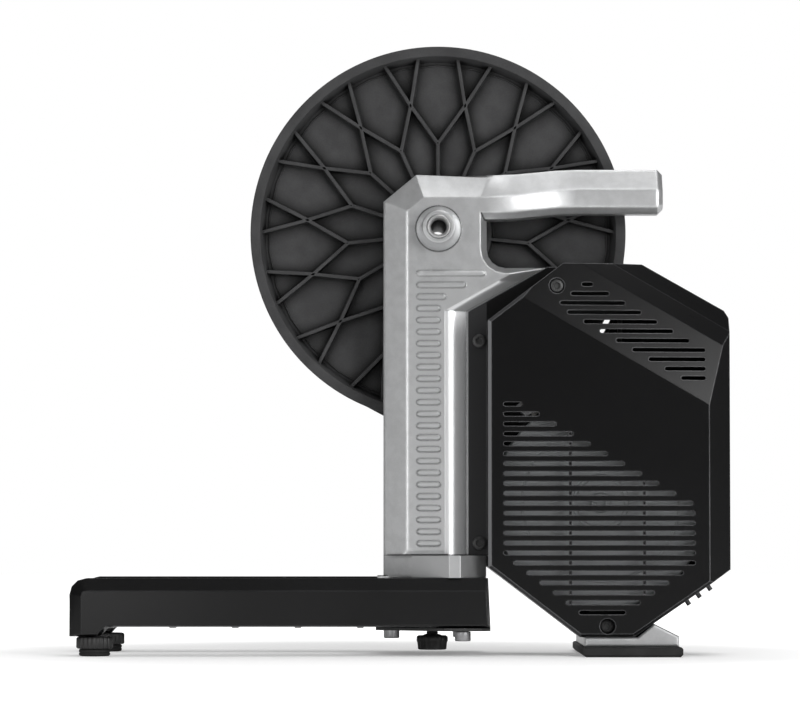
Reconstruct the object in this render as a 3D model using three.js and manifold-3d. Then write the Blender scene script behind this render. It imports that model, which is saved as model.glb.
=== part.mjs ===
// Direct drive bike trainer, legs folded forward. Millimetres, +Z up, the front of the bike towards -X,
// the drive side towards +Y. Positions along X are measured from the axle and moved as one at the end,
// so that the origin lies on the floor under the middle of the folded trainer.
import * as THREE from "three";
import { mergeVertices } from "three/addons/utils/BufferGeometryUtils.js";
import Module from "manifold-3d";

// Clearances, walls and overrun
const seatGap = 0.3;
const runningGap = 0.5;
const overrun = 1;
const weldDistance = 0.0001;
const coverWall = 3;

// Axle and dropout faces
const axleHeight = 343.5;
const dropoutSpacing = 142;
const thruAxleRadius = 6;
const axleRadius = 8.5;
const axleBore = 6.3;
const endCapRadius = 9.5;
const endCapLength = 18;
const endCapStepRadius = 7.2;
const endCapStepDepth = 3;
const driveCapRadius = 12;
const driveCapLength = 9.5;
const freehubRadius = 17.3;
const freehubSplineDepth = 1.6;
const freehubLength = 39;
const freehubCollarRadius = 20;
const freehubCollarWidth = 4;

// Pulley disc
const beltSeatRadius = 149;
const flangeRise = 4.7;
const farFlangeRise = 2.8;
const rimWall = 3.3;
const rimSlope = 4.2;
const discWidth = 22;
const discFlange = 3;
const discRadius = beltSeatRadius + flangeRise;
const discFarFlangeRadius = beltSeatRadius + farFlangeRise;
const rimFaceRadius = beltSeatRadius - rimWall;
const rimFootRadius = rimFaceRadius - rimSlope;
const discWebFront = 12;
const discWebBack = 16;
const hubPlateauRadius = 43.8;
const hubPlateauFront = 4;
const hubRecessRadius = 26;
const hubRecessFront = 7;
const ribWidth = 2.8;
const ribFront = 4.5;
const ribNodeRadius = 74.3;
const ribCrossRadius = 107.6;
const bearingRadius = 17;
const bearingWidth = 8;
const nearDiscBearing = 5.5;

// Flywheel, shaft and belt drive
const flywheelAside = 129.4;
const flywheelHeight = 122.4;
const flywheelRadius = 85.8;
const flywheelFront = -62;
const flywheelBack = -34;
const flywheelRim = 24;
const flywheelWeb = 10;
const flywheelHub = 21;
const flywheelChamfer = 1.5;
const shaftRadius = 8;
const shaftFront = -66;
const shaftBack = 26;
const smallPulleyRadius = 15;
const smallPulleyFlange = 2.5;
const beltThickness = 3;
const beltWidth = 15;
const beltSideGap = 0.5;

// Frame casting, the column and its head
const castingFace = -46;
const castingBack = -8;
const columnLeft = -44.5;
const columnRight = 23.7;
const columnBottom = 62.4;
const headRise = 44.5;
const castingTop = axleHeight + headRise;
const headRight = 39;
const sideBevel = 19.4;
const columnShoulder = 10;
const topBevel = 19;
const cornerBevel = 18.6;
const rightBevel = 18.7;
const slantBevel = 9.6;
const openingBevel = 5;
const cornerDrop = 22;
const cornerRun = 26.5;
const openingDrop = 31.1;
const openingFloor = axleHeight - openingDrop;
const openingFillet = 15;
const armTipAside = 87.3;
const recessSill = 84;
const baseTop = 80;
const baseRidge = 76;
const baseRidgeStart = 8;
const baseRidgeEnd = 17;
const baseRight = 38;
const baseShoulder = 50;
const coreHalfWidth = 39;
const pocketWall = 5;
const pocketDepth = 26;
const pocketHeadDrop = 19.4;
const pocketRib = 4;

// Raised ribs on the column's face
const faceRibPitch = 9.47;
const faceRibHeight = 4.8;
const faceRibRise = 1.3;
const faceRibLeft = -18.2;
const faceRibRight = 2;
const faceRibFirstRight = 38.3;
const faceRibDrop = 4.9;
const faceRibTop = openingFloor - faceRibDrop;
const faceRibStep = 15.8;

// Axle boss on the column's face
const bossBaseRadius = 18.2;
const bossRimRadius = 13.8;
const bossRimWidth = 2;
const bossLength = 23;

// Carrying handle
const handleBack = -8;
const handleFrontBevel = 13;
const handleEnd = 182;
const handleRootRise = 13.5;
const handleRootLow = axleHeight + handleRootRise;
const handleSetBack = 10;
const handleRise = 5.3;
const handleGripRise = 18.7;
const handleGripDepth = 14.2;
const handleGripLow = axleHeight + handleGripRise;
const handleGripHigh = handleGripLow + handleGripDepth;
const handleBendStart = 46;
const handleBendEnd = 112;
const handleBackBevel = 6;
const handleBottomBevel = 5.5;
const handleEndBevel = 4;

// Cover ledge and web of the casting, behind the covers
const ledgeFront = -36.7;
const ledgeRight = 42;
const ledgeTip = 104;
const webFront = -22;
const webInset = 4;
const webReach = 56;
const webShoulder = 88;
const webArmEnd = 168;
const bearingBossRadius = 24;
const bearingBossFront = -29;
const bearingBossProud = 2;
const postRadius = 5;

// Vented side cover and the cover on the drive side
const coverFront = -78;
const coverLeft = 39.1;
const coverLeftLow = 71;
const coverLeftDrop = 46.2;
const coverTopRise = 1.8;
const coverTop = openingFloor + coverTopRise;
const coverLeftHigh = coverTop - coverLeftDrop;
const coverTopLeft = 99.4;
const coverTopLeftDrop = 24.2;
const coverTopLeftLow = coverTop - coverTopLeftDrop;
const elbowRise = 9;
const elbowHeight = coverLeftHigh + elbowRise;
const ledgeElbowDrop = 13;
const ledgeElbow = coverLeftHigh - ledgeElbowDrop;
const ledgeTipLow = coverTopLeftLow;
const webArmDrop = 41.2;
const webArmLow = coverTop - webArmDrop;
const coverTopRight = 163.7;
const coverRight = 233.1;
const coverRightDrop = 39.2;
const coverRightHigh = coverTop - coverRightDrop;
const coverRightLow = 69;
const coverBottom = 15.4;
const coverBottomLeft = 112;
const coverBottomRight = 155;
const coverRightRidge = 215.5;
const coverRightBevelDepth = 15;
const coverEdgeBevel = 2.5;
const coverCornerCut = 4;
const foldLeft = 70.8;
const foldDrop = 30;
const foldHeight = coverTop - foldDrop;
const foldTilt = 10;
const foldReach = 80;
const stepStart = 47.4;
const stepEdge = 60.3;
const stepDepth = 5.5;
const flangeFront = -40;
const farCoverBack = 32;
const farCoverBevel = 7;
const discClearance = 5;
const beltClearance = 5;

// Slots of the side cover
const slotHeight = 3.1;
const lowerSlotPitch = 7.9;
const lowerSlotTop = 200.8;
const lowerSlotLeft = 51.3;
const lowerSlotRight = 204;
const lowerSlotFirstRight = 66.3;
const lowerSlotLeftMargin = 24.7;
const lowerSlotRightMargin = 35;
const upperSlotPitch = 7.53;
const upperSlotDrop = 17.3;
const upperSlotTop = coverTop - upperSlotDrop;
const upperSlotFirstLeft = 114.1;
const upperSlotFirstRight = 123.4;
const upperSlotFoldMargin = 14.5;
const upperSlotLastRight = 213.1;
const coverRibLeft = 103.4;
const coverRibRight = 162.4;
const coverRibWidth = 2.5;
const coverRibDepth = 6;

// Screws
const screwHeadRadius = 5.4;
const screwHeadHeight = 3;
const screwShankRadius = 2;
const screwLength = 12;
const screwRecessRadius = 6.2;
const screwSocketRadius = 2.4;
const screwSocketDepth = 1.6;
const lowerScrewRecessDepth = 12;
const upperScrewRecessDepth = 9.5;
const screwColumnAside = 32.8;
const screwCornerDrop = 15;
const screwSillRise = 19;
const screwHighHeight = coverLeftHigh - screwCornerDrop;
const screwLowHeight = coverLeftLow + screwSillRise;
const screwArmAside = 94.3;
const screwArmDrop = 18.6;
const screwArmHeight = coverTop - screwArmDrop;
const lowerScrewAside = 134;
const lowerScrewHeight = 24;
const farScrewDistance = 58;
const farScrewRecess = 3.5;

// Legs
const legTop = 62.1;
const legBottom = 22.6;
const legTipBottom = 15.8;
const legTip = -294.4;
const legEnd = 41;
const legEndSlant = 2;
const legCentre = 63.5;
const legWidth = 37;
const legBevel = 10;
const legLowBevel = 2;
const legTipRadius = 13;
const legHeel = -271;
const legHeelSlant = 7;
const legWall = 4.5;
const legPocketRib = 5;
const legPivotAside = 19;
const pivotTop = 74;
const pivotRadius = 5;
const pivotHeadRadius = 6.4;
const pivotHeadHeight = 7.9;
const pivotBushRadius = 7.5;
const plateThickness = 2.3;
const plateLeft = -50.7;
const plateRight = 41;
const plateHalfWidth = 78;
const plateBoltAside = -38;
const plateBoltInset = 28;
const plateBoltRadius = 4;
const plateBoltTop = 46;
const plateBoltHeadHeight = 6.3;

// Feet
const footAside = -275;
const knobRadius = 14.7;
const knobGrip = 1.1;
const padRadius = 12.5;
const padHeight = 5.8;
const studRadius = 5;
const studLength = 26;
const padRounding = 1.6;
const centreFootCollar = 8.5;
const centreFootAside = -4.9;
const centreFootRadius = 12.75;
const centreFootBottom = 3.3;
const centreFootHeight = 8.3;
const centreFootCollarTop = 15.2;
const centreStudLength = 44;
const rearFootLeft = 115.8;
const rearFootRight = 190.8;
const rearFootHalfLength = 69;
const rearCapThickness = 7;
const rearCapBevel = 1.4;
const soleHalfLength = 98;
const rearFootTop = 15;
const rearFootShoulder = 16.2;
const rearFootPeak = 25.8;
const rearFootPeakAside = 171.4;
const soleThickness = 7.6;
const soleOverhang = 1.8;
const soleEdge = 2;
const footLugLeft = 120;
const footLugRight = 150;
const footLugFront = -30;
const footLugTop = 40;
const footBoltRadius = 3;
const footBoltTop = 32;
const footBoltInset = 7;
const footBoltHeadRadius = 5;
const footBoltHeadHeight = 3;

// Magnet brake
const brakeAngle = THREE.MathUtils.degToRad(110);
const brakeHalfAngle = THREE.MathUtils.degToRad(21);
const brakeGap = 5;
const brakeDepth = 12;
const brakeTravel = 8;
const brakeStop = 1.2;
const brakeFront = -60;
const brakeBack = -36;
const magnetSize = 12;
const magnetThickness = 3;
const motorRadius = 11;
const motorLength = 17;
const leadScrewRadius = 2;
const brakeArmThickness = 3;

// Electronics
const boardInset = 8;
const boardMargin = 12;
const boardThickness = 1.6;
const boardLength = 38;
const boardBack = -26;
const lightPipeRadius = 1.85;
const lightPipeReach = 5;
const lightPipePitch = 10.4;
const lightPipeFirst = 52;
const lightPipeDepth = -55;
const inletRadius = 5.5;
const inletHole = 2.75;
const inletPin = 1;
const inletCollar = 7.5;
const inletCollarThickness = 1.2;
const inletLength = 12;
const inletPlace = 40;
const inletDepth = 12;

// Counts and proportions
const ribArms = 15;
const splineCount = 9;
const lowerSlotCount = 22;
const upperSlotCount = 11;
const knobGripCount = 12;
const magnetCount = 3;
const pocketRows = 4;
const pocketColumns = 2;
const legPocketCount = 5;
const filletSteps = 4;
const hexSides = 6;
const discSides = 54;
const wheelSides = 36;
const roundSides = 20;
const smallSides = 10;
const slotEndSteps = 3;
const foldSlope = 0.581;
const handleBendShares = [0, 0.25, 0.5, 0.75, 1];
const farScrewTurnShares = [0.125, 0.555, 0.917, 0.75];
const splineShare = 0.5;
const splineFlankShare = 0.1;
const ribEndShare = 0.729;
const legBevelShare = 0.8;
const upperSlotRightSlope = 1.7;
const upperSlotLeftSlope = 1.16;

const wasm = await Module();
wasm.setup();

// Solids from three.js geometry, and back

function signedVolume(position, index) {
  const [a, b, c] = [new THREE.Vector3(), new THREE.Vector3(), new THREE.Vector3()];
  let sum = 0;
  for (let i = 0; i < index.length; i += 3) {
    a.fromArray(position, 3 * index[i]);
    b.fromArray(position, 3 * index[i + 1]);
    c.fromArray(position, 3 * index[i + 2]);
    sum += a.dot(b.cross(c));
  }
  return sum;
}

function solidOf(geometry) {
  const bare = new THREE.BufferGeometry();
  bare.setAttribute("position", geometry.getAttribute("position"));
  bare.setIndex(geometry.index);
  const merged = mergeVertices(bare, weldDistance);
  const position = merged.getAttribute("position").array;
  const corners = [];
  for (let i = 0; i < merged.index.count; i += 3) {
    const [a, b, c] = [0, 1, 2].map((k) => merged.index.getX(i + k));
    if (a !== b && b !== c && c !== a) corners.push(a, b, c);
  }
  if (signedVolume(position, corners) < 0) corners.reverse();
  const shape = { numProp: 3, vertProperties: position, triVerts: new Uint32Array(corners) };
  return new wasm.Manifold(new wasm.Mesh(shape));
}

function geometryOf(solid) {
  const shape = solid.getMesh();
  const geometry = new THREE.BufferGeometry();
  geometry.setAttribute("position", new THREE.BufferAttribute(shape.vertProperties, 3));
  geometry.setIndex(new THREE.BufferAttribute(shape.triVerts, 1));
  const flat = geometry.toNonIndexed();
  flat.computeVertexNormals();
  return flat;
}

const join = (solids) => solids.reduce((whole, solid) => whole.add(solid));
const cut = (solid, cutters) => (cutters.length ? solid.subtract(join(cutters)) : solid);

// Outlines, as lists of [across, up] pairs that run anticlockwise

function arc(across, up, radius, from, to, steps) {
  return Array.from({ length: steps + 1 }, (_, i) => {
    const angle = from + ((to - from) * i) / steps;
    return [across + radius * Math.cos(angle), up + radius * Math.sin(angle)];
  });
}

const rectangle = (left, right, low, high) => [[left, low], [right, low], [right, high], [left, high]];
const circle = (across, up, radius, sides) => arc(across, up, radius, 0, 2 * Math.PI, sides).slice(1);

// Moves each edge inwards by its own distance; edge i runs from point i to the next one.
function inset(outline, distances) {
  const count = outline.length;
  const lines = outline.map(([a, b], i) => {
    const [c, d] = outline[(i + 1) % count];
    const length = Math.hypot(c - a, d - b);
    const normal = [-(d - b) / length, (c - a) / length];
    const by = Array.isArray(distances) ? distances[i] : distances;
    return { normal, offset: normal[0] * a + normal[1] * b + by };
  });
  return lines.map((line, i) => {
    const before = lines[(i + count - 1) % count];
    const [p, q] = before.normal;
    const [r, s] = line.normal;
    const determinant = p * s - q * r;
    const across = (before.offset * s - line.offset * q) / determinant;
    const up = (line.offset * p - before.offset * r) / determinant;
    return [across, up];
  });
}

// A closed skin over rings of points that lie in planes along one axis
function loft(axis, rings) {
  const place = {
    x: ([a, b], at) => [at, a, b],
    y: ([a, b], at) => [a, at, b],
    z: ([a, b], at) => [a, b, at],
  }[axis];
  const vectors = (outline) => outline.map(([a, b]) => new THREE.Vector2(a, b));
  if (THREE.ShapeUtils.area(vectors(rings[0].outline)) < 0)
    rings = rings.map(({ at, outline }) => ({ at, outline: outline.toReversed() }));
  const count = rings[0].outline.length;
  const position = rings.flatMap(({ at, outline }) => outline.flatMap((point) => place(point, at)));
  const index = [];
  for (let ring = 0; ring + 1 < rings.length; ring++)
    for (let i = 0; i < count; i++) {
      const [a, b] = [ring * count + i, ring * count + ((i + 1) % count)];
      index.push(a, b, b + count, a, b + count, a + count);
    }
  const cap = (outline) => THREE.ShapeUtils.triangulateShape(vectors(outline), []);
  const last = (rings.length - 1) * count;
  for (const [a, b, c] of cap(rings[0].outline)) index.push(a, c, b);
  for (const [a, b, c] of cap(rings[rings.length - 1].outline)) index.push(last + a, last + b, last + c);
  const geometry = new THREE.BufferGeometry();
  geometry.setAttribute("position", new THREE.Float32BufferAttribute(position, 3));
  geometry.setIndex(index);
  return solidOf(geometry);
}

const prism = (axis, outline, from, to) => loft(axis, [{ at: from, outline }, { at: to, outline }]);
const plate = (outline, near, far) => prism("y", outline, near, far);
const block = (left, right, near, far, low, high) => plate(rectangle(left, right, low, high), near, far);

// A plate whose edges are bevelled on both faces, or on the near face alone
function bevelledPlate(outline, near, far, nearBevel, farBevel = 0) {
  const rings = [{ at: near, outline: inset(outline, nearBevel) }, { at: near + nearBevel, outline }];
  if (farBevel) rings.push({ at: far - farBevel, outline }, { at: far, outline: inset(outline, farBevel) });
  else rings.push({ at: far, outline });
  return loft("y", rings);
}

// Turned solids about the Y axis, from [radius, y] pairs
function turned(profile, sides) {
  const points = profile.map(([radius, along]) => new THREE.Vector2(radius, along));
  return solidOf(new THREE.LatheGeometry(points, sides));
}

function ringSolid(inner, outer, near, far, sides) {
  return turned([[inner, near], [outer, near], [outer, far], [inner, far], [inner, near]], sides);
}

const roundBar = (radius, near, far, sides) => turned([[0, near], [radius, near], [radius, far], [0, far]], sides);

// Turned solids that stand on the Z axis
const upright = (solid) => solid.rotate([90, 0, 0]);
const drilled = (aside, height, radius, near, far, sides = smallSides) =>
  roundBar(radius, near, far, sides).translate([aside, 0, height]);
const post = (aside, depth, radius, low, high, sides = roundSides) =>
  prism("z", circle(aside, depth, radius, sides), low, high);

// Lever and belt geometry

const flywheelCentre = [flywheelAside, flywheelHeight];
const axleToFlywheel = Math.hypot(flywheelAside, axleHeight - flywheelHeight);
const beltHeading = Math.atan2(flywheelHeight - axleHeight, flywheelAside);

// The path round the disc and the small pulley, at the given radii
function beltOutline(discSide, pulleySide) {
  const spread = Math.acos((discSide - pulleySide) / axleToFlywheel);
  const round = 2 * Math.PI;
  const discTurn = arc(0, axleHeight, discSide, beltHeading + spread, beltHeading - spread + round, discSides);
  const pulleyTurn = arc(...flywheelCentre, pulleySide, beltHeading - spread, beltHeading + spread, smallSides);
  return [...discTurn, ...pulleyTurn];
}

// Frame casting

const bossFront = castingFace - bossLength;
const plateTop = legBottom - seatGap;
const plateBottom = plateTop - plateThickness;
const pivotBottom = plateBottom - seatGap - pivotHeadHeight;
const plateBoltBottom = plateBottom - seatGap - plateBoltHeadHeight;
const studTop = padHeight + seatGap + studLength;
const centreStudTop = centreFootBottom + centreStudLength;
const nearShaftBearing = bearingBossFront + 2 * seatGap;
const farShaftBearing = castingBack + bearingBossProud - bearingWidth - 2 * seatGap;
const brakeInner = flywheelRadius + brakeGap;
const brakeOuter = brakeInner + brakeDepth;
const brakeMiddle = (brakeFront + brakeBack) / 2;
const motorStart = brakeOuter + brakeTravel + brakeStop;
const motorSeat = brakeMiddle + motorRadius + seatGap;
const footBoltDepth = (footLugFront + castingBack) / 2;
const footBoltPlaces = [[footLugLeft + footBoltInset, footBoltDepth], [footLugRight - footBoltInset, footBoltDepth]];
const nearDropout = -dropoutSpacing / 2;
const driveDropout = dropoutSpacing / 2;
const shoulderDepth = castingFace + columnShoulder;

function columnOutline() {
  const across = headRight + openingFillet;
  const up = openingFloor + openingFillet;
  return [
    [columnLeft, columnBottom],
    [columnRight, columnBottom],
    [columnRight, elbowHeight],
    [armTipAside, openingFloor],
    ...arc(across, up, openingFillet, 1.5 * Math.PI, Math.PI, filletSteps),
    [headRight, castingTop],
    [columnLeft + cornerRun, castingTop],
    [columnLeft, castingTop - cornerDrop],
  ];
}

function column() {
  const outer = columnOutline();
  const around = Array(filletSteps + 2).fill(openingBevel);
  const sill = recessSill - columnBottom;
  const face = inset(outer, [sill, rightBevel, slantBevel, ...around, topBevel, cornerBevel, sideBevel]);
  return loft("y", [
    { at: castingFace, outline: face },
    { at: shoulderDepth, outline: outer },
    { at: castingBack, outline: outer },
  ]);
}

function baseBlock() {
  const half = [
    [columnLeft, shoulderDepth],
    [baseRidgeStart, -baseRidge],
    [baseRidgeEnd, -baseRidge],
    [baseRight, -baseShoulder],
  ];
  const plan = [...half, ...half.map(([a, b]) => [a, -b]).reverse()];
  return prism("z", plan, columnBottom, baseTop);
}

function core() {
  const low = legBottom;
  return block(plateLeft + overrun, baseRight, -coreHalfWidth, coreHalfWidth, low, columnBottom + overrun);
}

function ledgeOutline() {
  return [
    [0, baseTop - overrun],
    [ledgeRight, baseTop - overrun],
    [ledgeRight, ledgeElbow],
    [ledgeTip, ledgeTipLow],
    [ledgeTip, openingFloor],
    [0, openingFloor],
  ];
}

function webOutline() {
  return [
    [0, baseTop],
    [ledgeRight, baseTop],
    [footLugLeft, coverBottom + webInset],
    [footLugRight, coverBottom + webInset],
    [flywheelAside + webReach, flywheelHeight - webReach],
    [flywheelAside + webReach, flywheelHeight + webReach],
    [webShoulder, flywheelHeight + flywheelRadius],
    [webShoulder, webArmLow],
    [webArmEnd, webArmLow],
    [webArmEnd, ledgeTipLow + webInset],
    [ledgeTip, openingFloor - webInset],
    [0, openingFloor - webInset],
  ];
}

const handleRoot = {
  front: castingFace, top: castingTop, facetTop: castingTop - topBevel, facetLow: handleRootLow,
  bottom: handleRootLow - handleBottomBevel,
};
const handleGrip = {
  front: castingFace + handleSetBack, top: castingTop + handleRise, facetTop: handleGripHigh,
  facetLow: handleGripLow, bottom: handleGripLow - handleBottomBevel,
};

function handleSection(share) {
  const mix = (key) => THREE.MathUtils.lerp(handleRoot[key], handleGrip[key], share);
  const [front, top, facetTop, facetLow, bottom] = ["front", "top", "facetTop", "facetLow", "bottom"].map(mix);
  return [
    [front, facetLow],
    [front + handleBottomBevel, bottom],
    [handleBack - handleBackBevel, bottom],
    [handleBack, facetLow],
    [handleBack, top - handleBackBevel],
    [handleBack - handleBackBevel, top],
    [front + handleFrontBevel, top],
    [front, facetTop],
  ];
}

function handle() {
  const bend = handleBendEnd - handleBendStart;
  const rings = handleBendShares.map((share) => ({
    at: handleBendStart + bend * share,
    outline: handleSection(THREE.MathUtils.smoothstep(share, 0, 1)),
  }));
  return loft("x", [
    { at: headRight - handleFrontBevel, outline: handleSection(0) },
    ...rings,
    { at: handleEnd - handleEndBevel, outline: handleSection(1) },
    { at: handleEnd, outline: inset(handleSection(1), handleEndBevel) },
  ]);
}

function capsule(left, right, height, thickness) {
  const radius = thickness / 2;
  const quarter = Math.PI / 2;
  return [
    ...arc(right - radius, height, radius, -quarter, quarter, slotEndSteps),
    ...arc(left + radius, height, radius, quarter, 3 * quarter, slotEndSteps),
  ];
}

function faceRibs() {
  const count = Math.floor((faceRibTop - recessSill) / faceRibPitch) + 1;
  return Array.from({ length: count }, (_, i) => {
    const right = Math.max(faceRibRight, faceRibFirstRight - i * faceRibStep);
    const outline = capsule(faceRibLeft, right, faceRibTop - i * faceRibPitch, faceRibHeight);
    return loft("y", [
      { at: castingFace - faceRibRise, outline: inset(outline, faceRibRise) },
      { at: castingFace, outline },
      { at: castingFace + overrun, outline },
    ]);
  });
}

function axleBoss() {
  const start = castingFace + overrun;
  const profile = [
    [0, start], [bossBaseRadius, start], [bossBaseRadius, castingFace],
    [bossRimRadius, bossFront + bossRimWidth], [bossRimRadius - bossRimWidth / 2, bossFront], [0, bossFront],
  ];
  return turned(profile, roundSides * 2).translate([0, 0, axleHeight]);
}

const bearingSeat = bearingRadius + seatGap;
const flangeScrews = [[screwColumnAside, screwHighHeight], [screwColumnAside, screwLowHeight]];
const lowerScrewPlace = [lowerScrewAside, lowerScrewHeight];
const upperScrewPlace = [screwArmAside, screwArmHeight];
const lowerScrewFront = coverFront + lowerScrewRecessDepth;
const upperScrewFront = coverFront + upperScrewRecessDepth;
const lowerPostFront = lowerScrewFront + coverWall + seatGap;
const upperPostFront = upperScrewFront + coverWall + seatGap;
const farScrews = farScrewTurnShares.map((turn) => [
  flywheelAside + farScrewDistance * Math.cos(2 * Math.PI * turn),
  flywheelHeight + farScrewDistance * Math.sin(2 * Math.PI * turn),
]);
const farPostBack = farCoverBack - coverWall - farScrewRecess - seatGap;

function motorLug() {
  const far = (ledgeTipLow - flywheelHeight) / Math.sin(brakeAngle) + motorRadius;
  return plate(rectangle(motorStart, far, -motorRadius, motorRadius), motorSeat, webFront)
    .rotate([0, -THREE.MathUtils.radToDeg(brakeAngle), 0])
    .translate([flywheelAside, 0, flywheelHeight]);
}

function castingBody() {
  return join([
    column(), baseBlock(), core(), handle(), axleBoss(), ...faceRibs(), motorLug(),
    plate(ledgeOutline(), ledgeFront, castingBack),
    plate(webOutline(), webFront, castingBack),
    block(footLugLeft, footLugRight, footLugFront, castingBack, coverBottom - seatGap / 3, footLugTop),
    drilled(...flywheelCentre, bearingBossRadius, bearingBossFront, castingBack + bearingBossProud, roundSides),
    drilled(...lowerScrewPlace, postRadius, lowerPostFront, webFront + overrun),
    drilled(...upperScrewPlace, postRadius, upperPostFront, ledgeFront + overrun),
    ...farScrews.map((place) => drilled(...place, postRadius, castingBack - overrun, farPostBack)),
  ]);
}

function castingPockets() {
  const low = baseTop + pocketWall;
  const width = (columnRight - columnLeft - 2 * pocketWall - (pocketColumns - 1) * pocketRib) / pocketColumns;
  const deep = castingBack - pocketDepth;
  const pitch = (openingFloor - pocketHeadDrop - low) / pocketRows;
  return Array.from({ length: pocketRows * pocketColumns }, (_, i) => {
    const start = low + Math.floor(i / pocketColumns) * pitch;
    const left = columnLeft + pocketWall + (i % pocketColumns) * (width + pocketRib);
    return block(left, left + width, deep, castingBack + overrun, start, start + pitch - pocketRib);
  });
}

function castingBores() {
  const back = castingBack + overrun;
  const capBore = nearDropout + endCapLength + seatGap / 2;
  const shankBore = screwShankRadius + seatGap;
  const shankEnd = screwLength + overrun;
  const pivots = [-legCentre, legCentre].map((depth) =>
    post(legPivotAside, depth, pivotRadius + seatGap, columnBottom - overrun, pivotTop + seatGap));
  const plateBolts = [-plateBoltInset, plateBoltInset].map((depth) =>
    post(plateBoltAside, depth, plateBoltRadius + seatGap, legBottom - overrun, plateBoltTop + seatGap, smallSides));
  const footBolts = footBoltPlaces.map((place) =>
    post(...place, footBoltRadius + seatGap, 0, footBoltTop + seatGap, smallSides));
  return [
    drilled(0, axleHeight, axleRadius + seatGap, castingFace - bossLength - overrun, back, roundSides),
    drilled(0, axleHeight, endCapRadius + seatGap, bossFront - overrun, capBore, roundSides),
    drilled(...flywheelCentre, shaftRadius + runningGap, bearingBossFront - overrun, overrun, roundSides),
    drilled(...flywheelCentre, bearingSeat, bearingBossFront - overrun, nearShaftBearing + bearingWidth, roundSides),
    drilled(...flywheelCentre, bearingSeat, farShaftBearing, overrun, roundSides),
    ...flangeScrews.map((place) => drilled(...place, shankBore, ledgeFront - overrun, flangeFront + shankEnd)),
    drilled(...lowerScrewPlace, shankBore, lowerPostFront - overrun, lowerScrewFront + shankEnd),
    drilled(...upperScrewPlace, shankBore, upperPostFront - overrun, upperScrewFront + shankEnd),
    ...farScrews.map((place) => drilled(...place, shankBore, farPostBack - shankEnd, farPostBack + overrun)),
    ...pivots, ...plateBolts, ...footBolts,
    post(centreFootAside, 0, studRadius + seatGap, legBottom - overrun, centreStudTop + seatGap),
  ];
}

const frameCasting = () => cut(castingBody(), [...castingPockets(), ...castingBores()]);

// Covers

function coverOutline() {
  const slope = Math.atan2(coverTop - coverRightHigh, coverRight - coverTopRight);
  return [
    [coverLeft, coverLeftLow], [coverBottomLeft, coverBottom], [coverBottomRight, coverBottom],
    [coverRight, coverRightLow], [coverRight, coverRightHigh - coverCornerCut],
    [coverRight - coverCornerCut * Math.cos(slope), coverRightHigh + coverCornerCut * Math.sin(slope)],
    [coverTopRight, coverTop],
    [coverTopLeft, coverTop], [coverLeft, coverLeftHigh],
  ];
}

const foldAngle = Math.atan(foldSlope);

// What the folded upper facet and its stepped edge take off the front; inwards moves it for the hollow
function foldCutter(inwards) {
  const front = coverFront + inwards;
  const shift = -inwards * Math.tan(foldAngle / 2);
  const far = stepEdge + foldReach;
  const profile = [
    [coverFront - foldReach, shift],
    [coverFront - foldReach, far],
    [front + foldTilt + stepDepth + foldReach, far],
    [front + foldTilt + stepDepth, stepEdge + shift],
    [front + foldTilt, stepStart + shift],
    [front, shift],
  ].reverse();
  return prism("x", profile, -foldReach, axleHeight)
    .rotate([0, THREE.MathUtils.radToDeg(foldAngle), 0])
    .translate([foldLeft, 0, foldHeight]);
}

function rightBevelCutter(inwards) {
  const slope = coverRightBevelDepth / (coverRight - coverRightRidge);
  const ridge = coverRightRidge - inwards / 2;
  const front = coverFront + inwards;
  const far = coverRight + coverRightBevelDepth;
  const plan = [
    [ridge, front],
    [ridge, front - coverRightBevelDepth],
    [far, front - coverRightBevelDepth],
    [far, front + slope * (far - ridge)],
  ];
  return prism("z", plan, 0, axleHeight);
}

function coverForm(inwards, back) {
  const outline = inset(coverOutline(), inwards);
  const body = bevelledPlate(outline, coverFront + inwards, back, coverEdgeBevel);
  return cut(body, [foldCutter(inwards), rightBevelCutter(inwards)]);
}

function flange() {
  const edge = columnRight + seatGap;
  const rise = seatGap * 2;
  const outline = [
    [edge, baseTop + seatGap],
    [coverLeft + coverWall * 2, baseTop + seatGap],
    [coverTopLeft + coverWall, coverTopLeftLow],
    [coverTopLeft + coverWall, openingFloor + rise],
    [armTipAside + rise, openingFloor + rise],
    [edge, elbowHeight - seatGap],
  ];
  return plate(outline, flangeFront, ledgeFront - seatGap);
}

function lowerSlots() {
  const rightEdgeSlope = (coverRight - coverBottomRight) / (coverRightLow - coverBottom);
  const leftEdgeSlope = (coverBottomLeft - coverLeft) / (coverLeftLow - coverBottom);
  return Array.from({ length: lowerSlotCount }, (_, i) => {
    const height = lowerSlotTop - i * lowerSlotPitch;
    const left = Math.max(lowerSlotLeft, coverLeft + (coverLeftLow - height) * leftEdgeSlope + lowerSlotLeftMargin);
    const foldLimit = lowerSlotFirstRight + (lowerSlotTop - height) / foldSlope;
    const edgeLimit = coverRight - (coverRightLow - height) * rightEdgeSlope - lowerSlotRightMargin;
    const right = Math.min(lowerSlotRight, foldLimit, edgeLimit);
    return plate(capsule(left, right, height, slotHeight), coverFront - overrun, coverFront + coverWall + overrun);
  });
}

function upperSlots() {
  return Array.from({ length: upperSlotCount }, (_, i) => {
    const fall = i * upperSlotPitch;
    const height = upperSlotTop - fall;
    const fold = foldLeft + (foldHeight - height) / foldSlope + upperSlotFoldMargin;
    const left = Math.max(fold, upperSlotFirstLeft - fall * upperSlotLeftSlope);
    const right = Math.min(upperSlotLastRight, upperSlotFirstRight + fall * upperSlotRightSlope);
    const back = coverFront + foldTilt + 2 * coverWall;
    return plate(capsule(left, right, height, slotHeight), coverFront - overrun, back);
  });
}

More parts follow.
